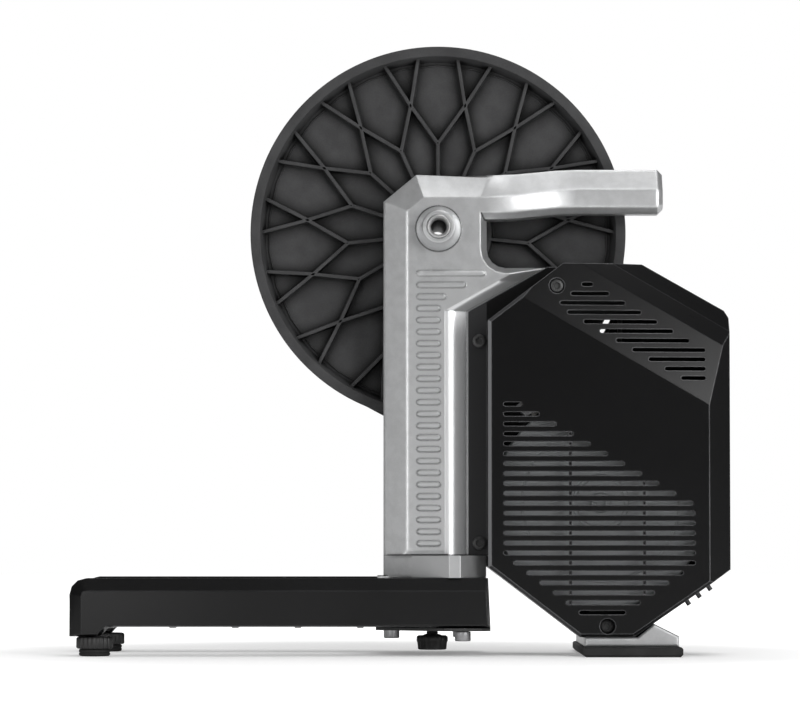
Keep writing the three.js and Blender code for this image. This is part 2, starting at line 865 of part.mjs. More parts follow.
function slotStiffeners() {
  const low = lowerSlotTop - (lowerSlotCount - 1) * lowerSlotPitch - slotHeight;
  const high = lowerSlotTop + slotHeight;
  const places = [[coverRibLeft, high - (coverRibLeft - lowerSlotFirstRight) * foldSlope],
    [coverRibRight, high - (coverRibRight - lowerSlotFirstRight) * foldSlope]];
  const back = coverFront + coverRibDepth;
  const front = coverFront + coverWall / 2;
  return places.map(([aside, top]) => block(aside, aside + coverRibWidth, front, back, low, top));
}

function sideCover() {
  const hollow = coverForm(coverWall, castingBack + overrun);
  const shell = cut(coverForm(0, castingBack).add(flange()), [hollow]);
  const facet = coverForm(0, castingBack);
  const recesses = [[lowerScrewPlace, lowerScrewFront], [upperScrewPlace, upperScrewFront]];
  const cups = recesses.map(([place, seat]) =>
    drilled(...place, screwRecessRadius + coverWall / 2, coverFront, seat + coverWall, roundSides).intersect(facet));
  const slotted = cut(shell, [...lowerSlots(), ...upperSlots()]);
  const grown = inset(ledgeOutline(), -seatGap);
  const shank = screwShankRadius + seatGap;
  const lugSlot = block(footLugLeft - seatGap, footLugRight + seatGap, footLugFront - seatGap, castingBack + overrun,
    0, coverBottom + coverWall + overrun);
  const pipes = lightPipePlaces.map((along) => onLowerRight(pipeHole().translate([along, lightPipeDepth, 0])));
  return cut(join([slotted, ...slotStiffeners(), ...cups]), [
    plate(grown, ledgeFront - seatGap, castingBack + overrun),
    ...recesses.flatMap(([place, seat]) => [
      drilled(...place, screwRecessRadius, coverFront - overrun, seat, roundSides),
      drilled(...place, shank, coverFront, seat + coverWall + overrun),
    ]),
    ...flangeScrews.map((place) => drilled(...place, shank, flangeFront - overrun, ledgeFront + overrun)),
    lugSlot, ...pipes,
  ]);
}

function farCover() {
  const front = castingBack + seatGap;
  const clear = discRadius + discClearance;
  const outline = coverOutline();
  const outer = loft("y", [
    { at: front, outline },
    { at: farCoverBack - farCoverBevel, outline },
    { at: farCoverBack, outline: inset(outline, farCoverBevel) },
  ]);
  const inner = loft("y", [
    { at: front - overrun, outline: inset(outline, coverWall) },
    { at: farCoverBack - farCoverBevel, outline: inset(outline, coverWall) },
    { at: farCoverBack - coverWall, outline: inset(outline, farCoverBevel + coverWall / 2) },
  ]);
  const discSpace = drilled(0, axleHeight, clear, front - 2 * overrun, farCoverBack + overrun, discSides);
  const discWall = drilled(0, axleHeight, clear + coverWall, front - 2 * overrun, farCoverBack + overrun, discSides);
  const hollow = cut(inner, [discWall]);
  const beltWindow = plate(
    beltOutline(beltSeatRadius + beltClearance, smallPulleyRadius + beltClearance * 2),
    front - overrun, discWidth + beltClearance);
  const recesses = farScrews.map((place) =>
    drilled(...place, screwRecessRadius, farCoverBack - farScrewRecess, farCoverBack + overrun, roundSides));
  const bosses = farScrews.map((place) =>
    drilled(...place, screwRecessRadius + coverWall / 2, farPostBack + seatGap, farCoverBack - overrun, roundSides));
  const holes = farScrews.map((place) =>
    drilled(...place, screwShankRadius + seatGap, farPostBack, farCoverBack));
  const socket = onLowerRight(
    upright(roundBar(inletRadius + seatGap, -coverWall - overrun, coverWall + overrun, roundSides))
      .translate([inletPlace, inletDepth, 0]));
  const shell = cut(outer, [discSpace, hollow, beltWindow]);
  return cut(join([shell, ...bosses]), [...recesses, ...holes, socket]);
}

// The covers' lower right wall: X runs along it, -Z points out of it
const lowerRightAngle = Math.atan2(coverRightLow - coverBottom, coverRight - coverBottomRight);
const lightPipePlaces = [0, 1, 2].map((i) => lightPipeFirst + i * lightPipePitch);

function onLowerRight(solid) {
  return solid
    .rotate([0, -THREE.MathUtils.radToDeg(lowerRightAngle), 0])
    .translate([coverBottomRight, 0, coverBottom]);
}

const pipeHole = () => upright(roundBar(lightPipeRadius + seatGap, -coverWall - overrun, coverWall + overrun, smallSides));

// Disc with its branching ribs

const polar = (radius, turn) => [radius * Math.sin(turn), radius * Math.cos(turn)];

function discRib(from, to) {
  const [dx, dz] = [to[0] - from[0], to[1] - from[1]];
  const length = Math.hypot(dx, dz);
  const half = ribWidth / 2;
  const bar = block(-half / 2, length + half / 2, ribFront, discWebFront + overrun, -half, half);
  return bar.rotate([0, -THREE.MathUtils.radToDeg(Math.atan2(dz, dx)), 0]).translate([from[0], 0, from[1]]);
}

function discRibs() {
  const step = (2 * Math.PI) / ribArms;
  const foot = rimFootRadius + ribWidth;
  return Array.from({ length: ribArms }, (_, i) => {
    const turn = i * step;
    const node = polar(ribNodeRadius, turn);
    const stem = discRib(polar(hubPlateauRadius - ribWidth, turn), node);
    const branches = [-1, 1].flatMap((side) => {
      const crossing = polar(ribCrossRadius, turn + (side * step) / 2);
      const end = polar(foot, turn + side * step * ribEndShare);
      return [discRib(node, crossing), discRib(crossing, end)];
    });
    return [stem, ...branches];
  }).flat();
}

function pulleyDisc() {
  const seat = discWidth - discFlange;
  const bore = bearingRadius + seatGap / 2;
  const body = turned([
    [bore, hubRecessFront], [hubRecessRadius, hubRecessFront], [hubRecessRadius + ribWidth / 2, hubPlateauFront],
    [hubPlateauRadius, hubPlateauFront], [hubPlateauRadius + ribWidth / 2, discWebFront],
    [rimFootRadius, discWebFront], [rimFaceRadius, 0], [discRadius - ribWidth / 2, 0],
    [discRadius, ribWidth / 2], [discRadius, discFlange - ribWidth / 4],
    [beltSeatRadius, discFlange], [beltSeatRadius, seat],
    [discFarFlangeRadius, seat + ribWidth / 4], [discFarFlangeRadius, discWidth], [rimFaceRadius, discWidth],
    [rimFootRadius, discWebBack], [hubPlateauRadius, discWebBack], [hubPlateauRadius - ribWidth, discWidth],
    [bore, discWidth], [bore, hubRecessFront],
  ], discSides);
  return join([body, ...discRibs()]);
}

// Belt drive, flywheel and axle parts

function driveBelt() {
  const near = discFlange + beltSideGap;
  const bottom = seatGap * 2;
  const outer = beltOutline(beltSeatRadius + bottom + beltThickness, smallPulleyRadius + bottom + beltThickness);
  const inner = beltOutline(beltSeatRadius + bottom, smallPulleyRadius + bottom);
  return plate(outer, near, near + beltWidth).subtract(plate(inner, near - overrun, near + beltWidth + overrun));
}

function smallPulley() {
  const flangeEdge = smallPulleyRadius + smallPulleyFlange;
  const [near, far] = [discFlange - smallPulleyFlange / 2, discFlange + beltWidth + 2 * beltSideGap];
  const bore = shaftRadius + seatGap;
  return turned([
    [bore, near - smallPulleyFlange / 2], [flangeEdge, near - smallPulleyFlange / 2], [flangeEdge, near],
    [smallPulleyRadius, discFlange], [smallPulleyRadius, far], [flangeEdge, far + smallPulleyFlange / 2],
    [flangeEdge, far + smallPulleyFlange], [bore, far + smallPulleyFlange], [bore, near - smallPulleyFlange / 2],
  ], roundSides);
}

function flywheel() {
  const bore = shaftRadius + seatGap;
  const webFar = flywheelFront + flywheelWeb;
  const rimInner = flywheelRadius - flywheelRim;
  const chamfer = flywheelChamfer;
  return turned([
    [bore, flywheelFront], [flywheelRadius - chamfer, flywheelFront], [flywheelRadius, flywheelFront + chamfer],
    [flywheelRadius, flywheelBack - chamfer], [flywheelRadius - chamfer, flywheelBack], [rimInner, flywheelBack],
    [rimInner - chamfer, webFar], [flywheelHub + chamfer, webFar], [flywheelHub, flywheelBack],
    [bore, flywheelBack], [bore, flywheelFront],
  ], wheelSides);
}

function nearEndCap() {
  const [front, back] = [nearDropout, nearDropout + endCapLength];
  const edge = endCapStepDepth / 4;
  return turned([
    [thruAxleRadius, front + endCapStepDepth], [endCapStepRadius, front + endCapStepDepth], [endCapStepRadius, front],
    [endCapRadius - edge, front], [endCapRadius, front + edge], [endCapRadius, back], [thruAxleRadius, back],
    [thruAxleRadius, front + endCapStepDepth],
  ], roundSides);
}

function driveEndCap() {
  const [near, far] = [driveDropout - driveCapLength, driveDropout];
  const edge = endCapStepDepth / 4;
  return turned([
    [thruAxleRadius, near], [driveCapRadius, near], [driveCapRadius, near + driveCapLength / 2],
    [endCapRadius, near + driveCapLength / 2], [endCapRadius, far - edge], [endCapRadius - edge, far],
    [thruAxleRadius, far], [thruAxleRadius, near],
  ], roundSides);
}

function freehubBody() {
  const collarBack = discWidth + seatGap + freehubCollarWidth;
  const step = (2 * Math.PI) / splineCount;
  const outline = Array.from({ length: splineCount }, (_, i) => {
    const [start, valley] = [i * step, freehubRadius - freehubSplineDepth];
    return [
      ...arc(0, 0, freehubRadius, start, start + step * splineShare, 2),
      ...arc(0, 0, valley, start + step * (splineShare + splineFlankShare), start + step * (1 - splineFlankShare), 1),
    ];
  }).flat();
  const splines = plate(outline, collarBack - overrun, discWidth + freehubLength);
  const collar = roundBar(freehubCollarRadius, discWidth + seatGap, collarBack, wheelSides);
  const bore = roundBar(axleRadius + seatGap, discWidth - overrun, driveDropout, roundSides);
  return cut(join([splines, collar]), [bore]);
}

// Magnet brake, in its own frame: X along the slide, away from the flywheel

const magnetSeat = brakeInner * Math.cos(brakeHalfAngle / (2 * magnetCount));

function brakeCarrier() {
  const outline = [
    ...arc(0, 0, brakeOuter, -brakeHalfAngle, brakeHalfAngle, slotEndSteps * 4),
    ...arc(0, 0, brakeInner, brakeHalfAngle, -brakeHalfAngle, slotEndSteps * 4),
  ];
  return plate(outline, brakeFront, brakeBack);
}

function brakeMagnet() {
  const outer = magnetSeat - seatGap;
  return block(outer - magnetThickness, outer, brakeFront + brakeArmThickness, brakeBack - brakeArmThickness,
    -magnetSize / 2, magnetSize / 2);
}

const alongX = (radius, from, to, sides) => prism("x", circle(brakeMiddle, 0, radius, sides), from, to);

function brakeMotor() {
  const body = alongX(motorRadius, motorStart, motorStart + motorLength, roundSides);
  const rodEnd = motorStart + brakeTravel + seatGap;
  return body.subtract(alongX(leadScrewRadius + seatGap, motorStart - overrun, rodEnd, smallSides));
}

// Legs and feet, the near leg; the far one is its mirror image

function legOutline() {
  const quarter = Math.PI / 2;
  return [
    [legTip, legTipBottom],
    [legHeel, legTipBottom],
    [legHeel + legHeelSlant, legBottom],
    [legEnd, legBottom],
    [legEnd - legEndSlant, legTop],
    ...arc(legTip + legTipRadius, legTop - legTipRadius, legTipRadius, quarter, 2 * quarter, slotEndSteps),
  ];
}

function legPlan() {
  const [outer, inner] = [-legCentre - legWidth, -legCentre + legWidth];
  const radius = legEnd - legPivotAside;
  return [
    [legTip - overrun, outer], [legEnd + overrun, outer], [legEnd + overrun, -legCentre],
    ...arc(legPivotAside, -legCentre, radius, 0, Math.PI / 2, slotEndSteps * 2),
    [legPivotAside, inner], [legTip - overrun, inner],
  ];
}

function legPockets() {
  const half = legWidth / 2 - legWall;
  const start = legHeel + legHeelSlant + legWall;
  const end = legPivotAside - legEnd + legPivotAside - pivotBushRadius;
  const length = (end - start) / legPocketCount;
  return Array.from({ length: legPocketCount }, (_, i) => {
    const left = start + i * length;
    return block(left, left + length - legPocketRib, -legCentre - half, -legCentre + half, legTipBottom,
      legTop - legBevel - legWall);
  });
}

function nearLeg() {
  const outline = legOutline();
  const tips = Array(slotEndSteps + 1).fill(legBevel);
  const face = inset(outline, [legLowBevel, legLowBevel, legLowBevel, legLowBevel, legBevel, ...tips]);
  const [near, far] = [-legCentre - legWidth / 2, -legCentre + legWidth / 2];
  const bevelDepth = legBevel * legBevelShare;
  const body = loft("y", [
    { at: near, outline: face }, { at: near + bevelDepth, outline },
    { at: far - bevelDepth, outline }, { at: far, outline: face },
  ]);
  return cut(body.intersect(prism("z", legPlan(), 0, axleHeight)), [
    ...legPockets(),
    post(legPivotAside, -legCentre, pivotBushRadius + seatGap, legBottom - overrun, legTop + overrun),
    post(footAside, -legCentre, studRadius + seatGap, legTipBottom - overrun, studTop + seatGap),
  ]);
}

const mirrorLeg = (solid) => solid.mirror([0, 1, 0]);

function legBush() {
  return upright(ringSolid(pivotRadius + seatGap, pivotBushRadius, legBottom, legTop, roundSides));
}

function bolt(radius, headRadius, bottom, headHeight, top) {
  return post(0, 0, headRadius, bottom, bottom + headHeight, hexSides).add(post(0, 0, radius, bottom, top));
}

function footKnob() {
  const outline = Array.from({ length: knobGripCount * 2 }, (_, i) => {
    const radius = knobRadius - (i % 2) * knobGrip;
    const angle = (Math.PI * i) / knobGripCount;
    return [radius * Math.cos(angle), radius * Math.sin(angle)];
  });
  const low = padHeight + seatGap;
  const high = legTipBottom - seatGap;
  const body = loft("z", [
    { at: low, outline: inset(outline, knobGrip) }, { at: low + knobGrip, outline },
    { at: high - knobGrip, outline }, { at: high, outline: inset(outline, knobGrip) },
  ]);
  return cut(body, [post(0, 0, studRadius + seatGap, low - overrun, high + overrun)]);
}

const footPad = () => upright(turned([
  [0, 0], [padRadius - padRounding, 0], [padRadius, padRounding], [padRadius, padHeight], [0, padHeight],
], roundSides));

function centreFoot() {
  const top = centreFootBottom + centreFootHeight;
  return join([
    post(0, 0, centreFootRadius, centreFootBottom, top, hexSides),
    post(0, 0, centreFootCollar, top - overrun, centreFootCollarTop),
    post(0, 0, studRadius, centreFootCollarTop - overrun, centreStudTop),
  ]);
}

function pivotPlate() {
  const half = [
    [plateLeft, -coreHalfWidth], [legPivotAside - 2 * pivotBushRadius, -plateHalfWidth],
    [plateRight - pivotBushRadius, -plateHalfWidth], [plateRight, -plateHalfWidth + pivotBushRadius],
  ];
  const plan = [...half, ...half.map(([a, b]) => [a, -b]).reverse()];
  const [top, low] = [plateTop, plateBottom];
  const bores = [-1, 1].flatMap((side) => [
    post(legPivotAside, side * legCentre, pivotRadius + seatGap, low - overrun, top + overrun),
    post(plateBoltAside, side * plateBoltInset, plateBoltRadius + seatGap, low - overrun, top + overrun, smallSides),
  ]);
  const middle = post(centreFootAside, 0, studRadius + seatGap, low - overrun, top + overrun);
  return cut(prism("z", plan, low, top), [...bores, middle]);
}

function rearFootSection() {
  const low = soleThickness + seatGap;
  return [
    [rearFootLeft, low], [rearFootRight, low], [rearFootRight, rearFootShoulder], [rearFootPeakAside, rearFootPeak],
    [coverBottomRight + coverWall, rearFootTop], [rearFootLeft, rearFootTop],
  ];
}

function rearFoot() {
  const low = soleThickness + seatGap;
  return cut(plate(rearFootSection(), -rearFootHalfLength, rearFootHalfLength), footBoltPlaces.flatMap((place) => [
    post(...place, footBoltHeadRadius + seatGap, 0, low + footBoltHeadHeight + seatGap),
    post(...place, footBoltRadius + seatGap, 0, rearFootPeak, smallSides),
  ]));
}

function rearEndCap() {
  const near = -rearFootHalfLength - seatGap;
  return bevelledPlate(rearFootSection(), near - rearCapThickness, near, rearCapBevel);
}

function rearSole() {
  const [left, right] = [rearFootLeft - soleOverhang, rearFootRight + soleOverhang];
  const plan = [[left, -soleHalfLength], [right, -soleHalfLength], [right, soleHalfLength], [left, soleHalfLength]];
  return loft("z", [
    { at: 0, outline: inset(plan, soleEdge) }, { at: soleEdge, outline: plan },
    { at: soleThickness - soleEdge / 2, outline: plan }, { at: soleThickness, outline: inset(plan, soleEdge / 2) },
  ]);
}

function coverScrew() {
  const head = roundBar(screwHeadRadius, -screwHeadHeight, 0, roundSides);
  const shank = roundBar(screwShankRadius, -overrun, screwLength - screwHeadHeight, smallSides);
  const socket = plate(circle(0, 0, screwSocketRadius, hexSides), -screwHeadHeight - overrun,
    -screwHeadHeight + screwSocketDepth);
  return head.add(shank).subtract(socket);
}

function powerInlet() {
  const body = roundBar(inletRadius, -inletCollarThickness, inletLength, roundSides);
  const collar = roundBar(inletCollar, -inletCollarThickness - seatGap, -seatGap, roundSides);
  const socket = roundBar(inletHole, -inletCollar, inletLength - coverWall, smallSides);
  const pin = roundBar(inletPin, 0, inletLength - overrun, smallSides);
  return body.add(collar).subtract(socket).add(pin);
}

// Finishes

const finish = (color, roughness, metalness) => new THREE.MeshStandardMaterial({ color, roughness, metalness });
const finishes = {
  castSilver: finish(0xb4b6b8, 0.42, 0.85),
  coverBlack: finish(0x16171a, 0.38, 0),
  discBlack: finish(0x1c1d1f, 0.6, 0),
  legBlack: finish(0x0c0c0e, 0.18, 0),
  rubber: finish(0x222326, 0.85, 0),
  steel: finish(0x9a9c9f, 0.35, 1),
  blackSteel: finish(0x26272a, 0.4, 0.9),
  aluminium: finish(0xc9cbce, 0.3, 0.95),
  board: finish(0x1d4a2c, 0.5, 0),
  clearPlastic: finish(0xd8dadc, 0.25, 0),
};

// The trainer

function piece(parent, name, solid, material, place = [0, 0, 0], turn = [0, 0, 0]) {
  const mesh = new THREE.Mesh(geometryOf(solid), material);
  mesh.name = name;
  mesh.position.set(...place);
  mesh.rotation.set(...turn);
  parent.add(mesh);
}

function nest(parent, place, turn = [0, 0, 0]) {
  const group = new THREE.Group();
  group.position.set(...place);
  group.rotation.set(...turn);
  parent.add(group);
  return group;
}

function addAxleGroup(trainer) {
  const group = nest(trainer, [0, 0, axleHeight]);
  const axle = ringSolid(axleBore, axleRadius, nearDropout + endCapLength + seatGap,
    driveDropout - driveCapLength - seatGap, roundSides);
  const bearing = ringSolid(axleRadius + seatGap / 2, bearingRadius, 0, bearingWidth, roundSides);
  piece(group, "pulley_disc", pulleyDisc(), finishes.discBlack);
  piece(group, "main_axle", axle, finishes.steel);
  piece(group, "disc_bearing_near", bearing, finishes.steel, [0, nearDiscBearing, 0]);
  piece(group, "disc_bearing_far", bearing, finishes.steel, [0, nearDiscBearing + bearingWidth + seatGap, 0]);
  piece(group, "near_end_cap", nearEndCap(), finishes.aluminium);
  piece(group, "drive_end_cap", driveEndCap(), finishes.aluminium);
  piece(group, "freehub_body", freehubBody(), finishes.blackSteel);
}

function addFlywheelGroup(trainer) {
  const group = nest(trainer, [flywheelAside, 0, flywheelHeight]);
  const bearing = ringSolid(shaftRadius + seatGap / 2, bearingRadius, 0, bearingWidth, roundSides);
  piece(group, "flywheel", flywheel(), finishes.steel);
  piece(group, "flywheel_shaft", roundBar(shaftRadius, shaftFront, shaftBack, roundSides), finishes.blackSteel);
  piece(group, "shaft_bearing_near", bearing, finishes.steel, [0, nearShaftBearing - seatGap, 0]);
  piece(group, "shaft_bearing_far", bearing, finishes.steel, [0, farShaftBearing + seatGap, 0]);
  piece(group, "drive_pulley", smallPulley(), finishes.blackSteel);
  const brake = nest(group, [0, 0, 0], [0, -brakeAngle, 0]);
  piece(brake, "brake_carrier", brakeCarrier(), finishes.discBlack);
  const spread = (2 * brakeHalfAngle) / magnetCount;
  for (let i = 0; i < magnetCount; i++) {
    const turn = (i - (magnetCount - 1) / 2) * spread;
    piece(brake, `brake_magnet_${i + 1}`, brakeMagnet(), finishes.aluminium, [0, 0, 0], [0, turn, 0]);
  }
  piece(brake, "brake_motor", brakeMotor(), finishes.blackSteel);
  const rod = alongX(leadScrewRadius, brakeOuter + seatGap, motorStart, smallSides);
  piece(brake, "brake_push_rod", rod, finishes.steel);
}

function addLegs(trainer) {
  const bush = legBush();
  const knob = footKnob();
  const stud = post(0, 0, studRadius, padHeight + seatGap, studTop);
  for (const [side, depth, mirror] of [["near", -legCentre, (solid) => solid], ["far", legCentre, mirrorLeg]]) {
    piece(trainer, `${side}_leg`, mirror(nearLeg()), finishes.legBlack);
    piece(trainer, `${side}_leg_bush`, bush, finishes.steel, [legPivotAside, depth, 0]);
    piece(trainer, `${side}_pivot_bolt`, bolt(pivotRadius, pivotHeadRadius, pivotBottom, pivotHeadHeight, pivotTop),
      finishes.steel, [legPivotAside, depth, 0]);
    piece(trainer, `${side}_plate_bolt`, bolt(plateBoltRadius, pivotHeadRadius, plateBoltBottom,
      plateBoltHeadHeight, plateBoltTop), finishes.steel, [plateBoltAside, Math.sign(depth) * plateBoltInset, 0]);
    piece(trainer, `${side}_foot_knob`, knob, finishes.discBlack, [footAside, depth, 0]);
    piece(trainer, `${side}_foot_stud`, stud, finishes.steel, [footAside, depth, 0]);
    piece(trainer, `${side}_foot_pad`, footPad(), finishes.rubber, [footAside, depth, 0]);
  }
  piece(trainer, "pivot_plate", pivotPlate(), finishes.blackSteel);
  piece(trainer, "centre_foot", centreFoot(), finishes.rubber, [centreFootAside, 0, 0]);
}

function addCovers(trainer) {
  piece(trainer, "side_cover", sideCover(), finishes.coverBlack);
  piece(trainer, "drive_side_cover", farCover(), finishes.coverBlack);
  const screw = coverScrew();
  const flangePlaces = flangeScrews.map((place) => [place, flangeFront]);
  const nearPlaces = [...flangePlaces, [upperScrewPlace, upperScrewFront], [lowerScrewPlace, lowerScrewFront]];
  nearPlaces.forEach(([[aside, height], depth], i) =>
    piece(trainer, `cover_screw_${i + 1}`, screw, finishes.blackSteel, [aside, depth - seatGap, height]));
  farScrews.forEach(([aside, height], i) =>
    piece(trainer, `drive_cover_screw_${i + 1}`, screw, finishes.blackSteel,
      [aside, farCoverBack - farScrewRecess + seatGap, height], [0, 0, Math.PI]));
}

function addRearFoot(trainer) {
  piece(trainer, "rear_foot", rearFoot(), finishes.legBlack);
  piece(trainer, "rear_cap_near", rearEndCap(), finishes.castSilver);
  piece(trainer, "rear_cap_far", rearEndCap().mirror([0, 1, 0]), finishes.castSilver);
  piece(trainer, "rear_foot_sole", rearSole(), finishes.rubber);
  const low = soleThickness + 2 * seatGap;
  footBoltPlaces.forEach(([aside, depth], i) =>
    piece(trainer, `rear_foot_bolt_${i + 1}`, bolt(footBoltRadius, footBoltHeadRadius, low, footBoltHeadHeight,
      footBoltTop), finishes.steel, [aside, depth, 0]));
}

function addElectronics(trainer) {
  const group = nest(trainer, [coverBottomRight, 0, coverBottom], [0, -lowerRightAngle, 0]);
  const [start, near] = [lightPipeFirst - boardMargin, coverWall + boardInset];
  const board = block(start, start + boardLength, coverFront + coverWall + seatGap, boardBack, near,
    near + boardThickness);
  piece(group, "circuit_board", board, finishes.board);
  lightPipePlaces.forEach((along, i) => {
    const pipe = post(0, 0, lightPipeRadius, -lightPipeReach, near - seatGap, smallSides);
    piece(group, `status_light_${i + 1}`, pipe, finishes.clearPlastic, [along, lightPipeDepth, 0]);
  });
  piece(group, "power_inlet", powerInlet(), finishes.discBlack, [inletPlace, inletDepth, 0], [Math.PI / 2, 0, 0]);
}

const trainer = new THREE.Group();
trainer.name = "direct_drive_trainer";
const assembly = nest(trainer, [(-legTip - coverRight) / 2, 0, 0]);
piece(assembly, "frame_casting", frameCasting(), finishes.castSilver);
piece(assembly, "drive_belt", driveBelt(), finishes.rubber);
addAxleGroup(assembly);
addFlywheelGroup(assembly);
addLegs(assembly);
addCovers(assembly);
addRearFoot(assembly);
addElectronics(assembly);

export default trainer;
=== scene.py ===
"""The looks of a direct drive bike trainer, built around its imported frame.

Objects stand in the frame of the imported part, in metres: +X from the folded legs towards the rear foot,
+Y towards the drive side, away from the camera, and +Z up from the floor. The sizes of finishes, sections
and sub-assemblies are in millimetres. Each class dresses one sub-assembly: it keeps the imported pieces
whose form is right and builds finer ones for the others.
"""

import logging
import math
from dataclasses import dataclass
from enum import Enum
from typing import Callable, Iterable, Sequence

import bmesh
import bpy
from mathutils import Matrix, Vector


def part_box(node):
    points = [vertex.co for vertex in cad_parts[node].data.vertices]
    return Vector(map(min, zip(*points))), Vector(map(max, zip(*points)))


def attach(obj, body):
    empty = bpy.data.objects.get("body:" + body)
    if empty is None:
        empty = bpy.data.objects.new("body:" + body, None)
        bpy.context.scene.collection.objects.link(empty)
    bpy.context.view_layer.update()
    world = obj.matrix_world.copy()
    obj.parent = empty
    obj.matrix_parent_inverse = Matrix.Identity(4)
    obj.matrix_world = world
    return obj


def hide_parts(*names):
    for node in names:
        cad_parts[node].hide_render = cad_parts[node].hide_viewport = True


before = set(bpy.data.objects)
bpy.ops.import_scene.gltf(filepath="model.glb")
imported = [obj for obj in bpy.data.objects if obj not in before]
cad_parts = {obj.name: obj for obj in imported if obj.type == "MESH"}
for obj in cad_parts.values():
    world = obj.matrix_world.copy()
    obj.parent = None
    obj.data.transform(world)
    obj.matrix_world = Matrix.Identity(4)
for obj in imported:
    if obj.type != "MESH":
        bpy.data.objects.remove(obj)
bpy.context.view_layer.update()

MM = 0.001
LOG = logging.getLogger("trainer")
Point2 = tuple[float, float]
Point3 = tuple[float, float, float]
Outline = list[Point2]
Steps = tuple[tuple[str, float, float], ...]
Fill = Callable[[bmesh.types.BMesh], None]

MAIN_AXIS: Point3 = (30.65 * MM, 0.0, 343.5 * MM)
FLYWHEEL_AXIS: Point3 = (160.05 * MM, 0.0, 122.4 * MM)
NEAR = Vector((0.0, -1.0, 0.0))
FAR = Vector((0.0, 1.0, 0.0))
DOWN = Vector((0.0, 0.0, -1.0))
WHITE = (1.0, 1.0, 1.0, 1.0)


# Shader sheets


class Channel:
    """One output of a shader node. Arithmetic on channels adds Math nodes to their sheet."""

    def __init__(self, sheet: "ShaderSheet", socket: bpy.types.NodeSocket) -> None:
        """Keeps the socket and the sheet that it stands on."""
        self.sheet = sheet
        self.socket = socket

    def _math(self, operation: str, first: object, second: object, clamp: bool = False) -> "Channel":
        """Adds one Math node on two values or channels, and returns its output."""
        settings = {"operation": operation, "use_clamp": clamp}
        return self.sheet.add("ShaderNodeMath", settings, {0: first, 1: second})

    def __add__(self, other: object) -> "Channel":
        """Adds a value or a channel."""
        return self._math("ADD", self, other)

    __radd__ = __add__

    def __sub__(self, other: object) -> "Channel":
        """Takes a value or a channel away."""
        return self._math("SUBTRACT", self, other)

    def __rsub__(self, other: object) -> "Channel":
        """Takes this channel away from a value."""
        return self._math("SUBTRACT", other, self)

    def __mul__(self, other: object) -> "Channel":
        """Multiplies by a value or a channel."""
        return self._math("MULTIPLY", self, other)

    __rmul__ = __mul__

    def clipped(self) -> "Channel":
        """Keeps the value from 0 to 1."""
        return self._math("ADD", self, 0.0, clamp=True)


class ShaderSheet:
    """The node tree of one material, or of the world."""

    COLOURS = ("RGBA", 6, 7, 2)
    NORMALS = ("VECTOR", 4, 5, 1)

    def __init__(self, tree: bpy.types.NodeTree) -> None:
        """Clears the node tree and keeps it to draw on."""
        self.tree = tree
        tree.nodes.clear()

    def add(
        self, kind: str, settings: dict | None = None, inputs: dict | None = None, output: object = 0,
    ) -> Channel:
        """Adds a node: its settings first, then the values or links of its sockets.

        Args:
            kind: The node's type name.
            settings: Node properties by name.
            inputs: Values or channels by socket name or number.
            output: Name or number of the output that is returned.

        Returns:
            The chosen output. A node that has none gives its first input.
        """
        node = self.tree.nodes.new(kind)
        for name, value in (settings or {}).items():
            setattr(node, name, value)
        for name, value in (inputs or {}).items():
            if isinstance(value, Channel):
                self.tree.links.new(value.socket, node.inputs[name])
            else:
                node.inputs[name].default_value = value
        return Channel(self, (node.outputs if len(node.outputs) else node.inputs)[output])

    def vector(self, operation: str, *values: object, output: object = 0) -> Channel:
        """Adds a Vector Math node on vectors, and returns one of its outputs."""
        return self.add("ShaderNodeVectorMath", {"operation": operation}, dict(enumerate(values)), output)

    def mix(self, factor: object, first: object, second: object, kind: tuple = COLOURS) -> Channel:
        """Mixes two COLOURS or two NORMALS, and a factor of 0 gives the first. The kind names the sockets."""
        data, one, other, output = kind
        return self.add("ShaderNodeMix", {"data_type": data}, {0: factor, one: first, other: second}, output)

    def range_of(self, value: Channel, low: float, high: float) -> Channel:
        """Turns a value into a soft mask: 0 below low and 1 above high."""
        settings = {"interpolation_type": "SMOOTHSTEP"}
        return self.add("ShaderNodeMapRange", settings, {"Value": value, "From Min": low, "From Max": high})


# Finishes


class Texture(Enum):
    """How a surface was made, and so which fine pattern it carries."""

    CAST = "cast"
    MOULDED = "moulded"
    TURNED = "turned"
    RUBBER = "rubber"


# Zones with a look of their own. Each step names an axis, where the zone is 0 and where it is 1. The steps go
# by place, and those of the chamfers by the flat normal. The ledge's flank, the cover's flange and the left
# chamfers get painted light, and the web behind the slots gets painted shade.
FACE_RIBS: Steps = (("X", 9, 11), ("X", 54, 52), ("Y", -45.9, -45.97), ("Z", 303, 300))
HANDLE: Steps = (("X", 70, 76), ("Z", 352, 356))
LEFT_EDGE: Steps = (("X", 9, 8), ("Z", 370, 366))
LEDGE_FLANK: Steps = (
    ("X", 35, 35.6), ("X", 114, 112), ("Y", -45.97, -45.9), ("Y", -37, -37.4), ("Z", 303, 300),
)
FLANK_ROLL: Steps = (("Y", -46.4, -40.5),)
WEB_BEHIND_SLOTS: Steps = (("X", 74, 76), ("Y", -36.6, -36.2), ("Y", -20.6, -21), ("Z", 306, 305))
COVER_FLANGE: Steps = (("X", 70, 69), ("Y", -42, -41))
LEFT_CHAMFERS: Steps = (("X", -0.3, -0.75), ("Y", -0.8, -0.76), ("Y", -0.6, -0.65))


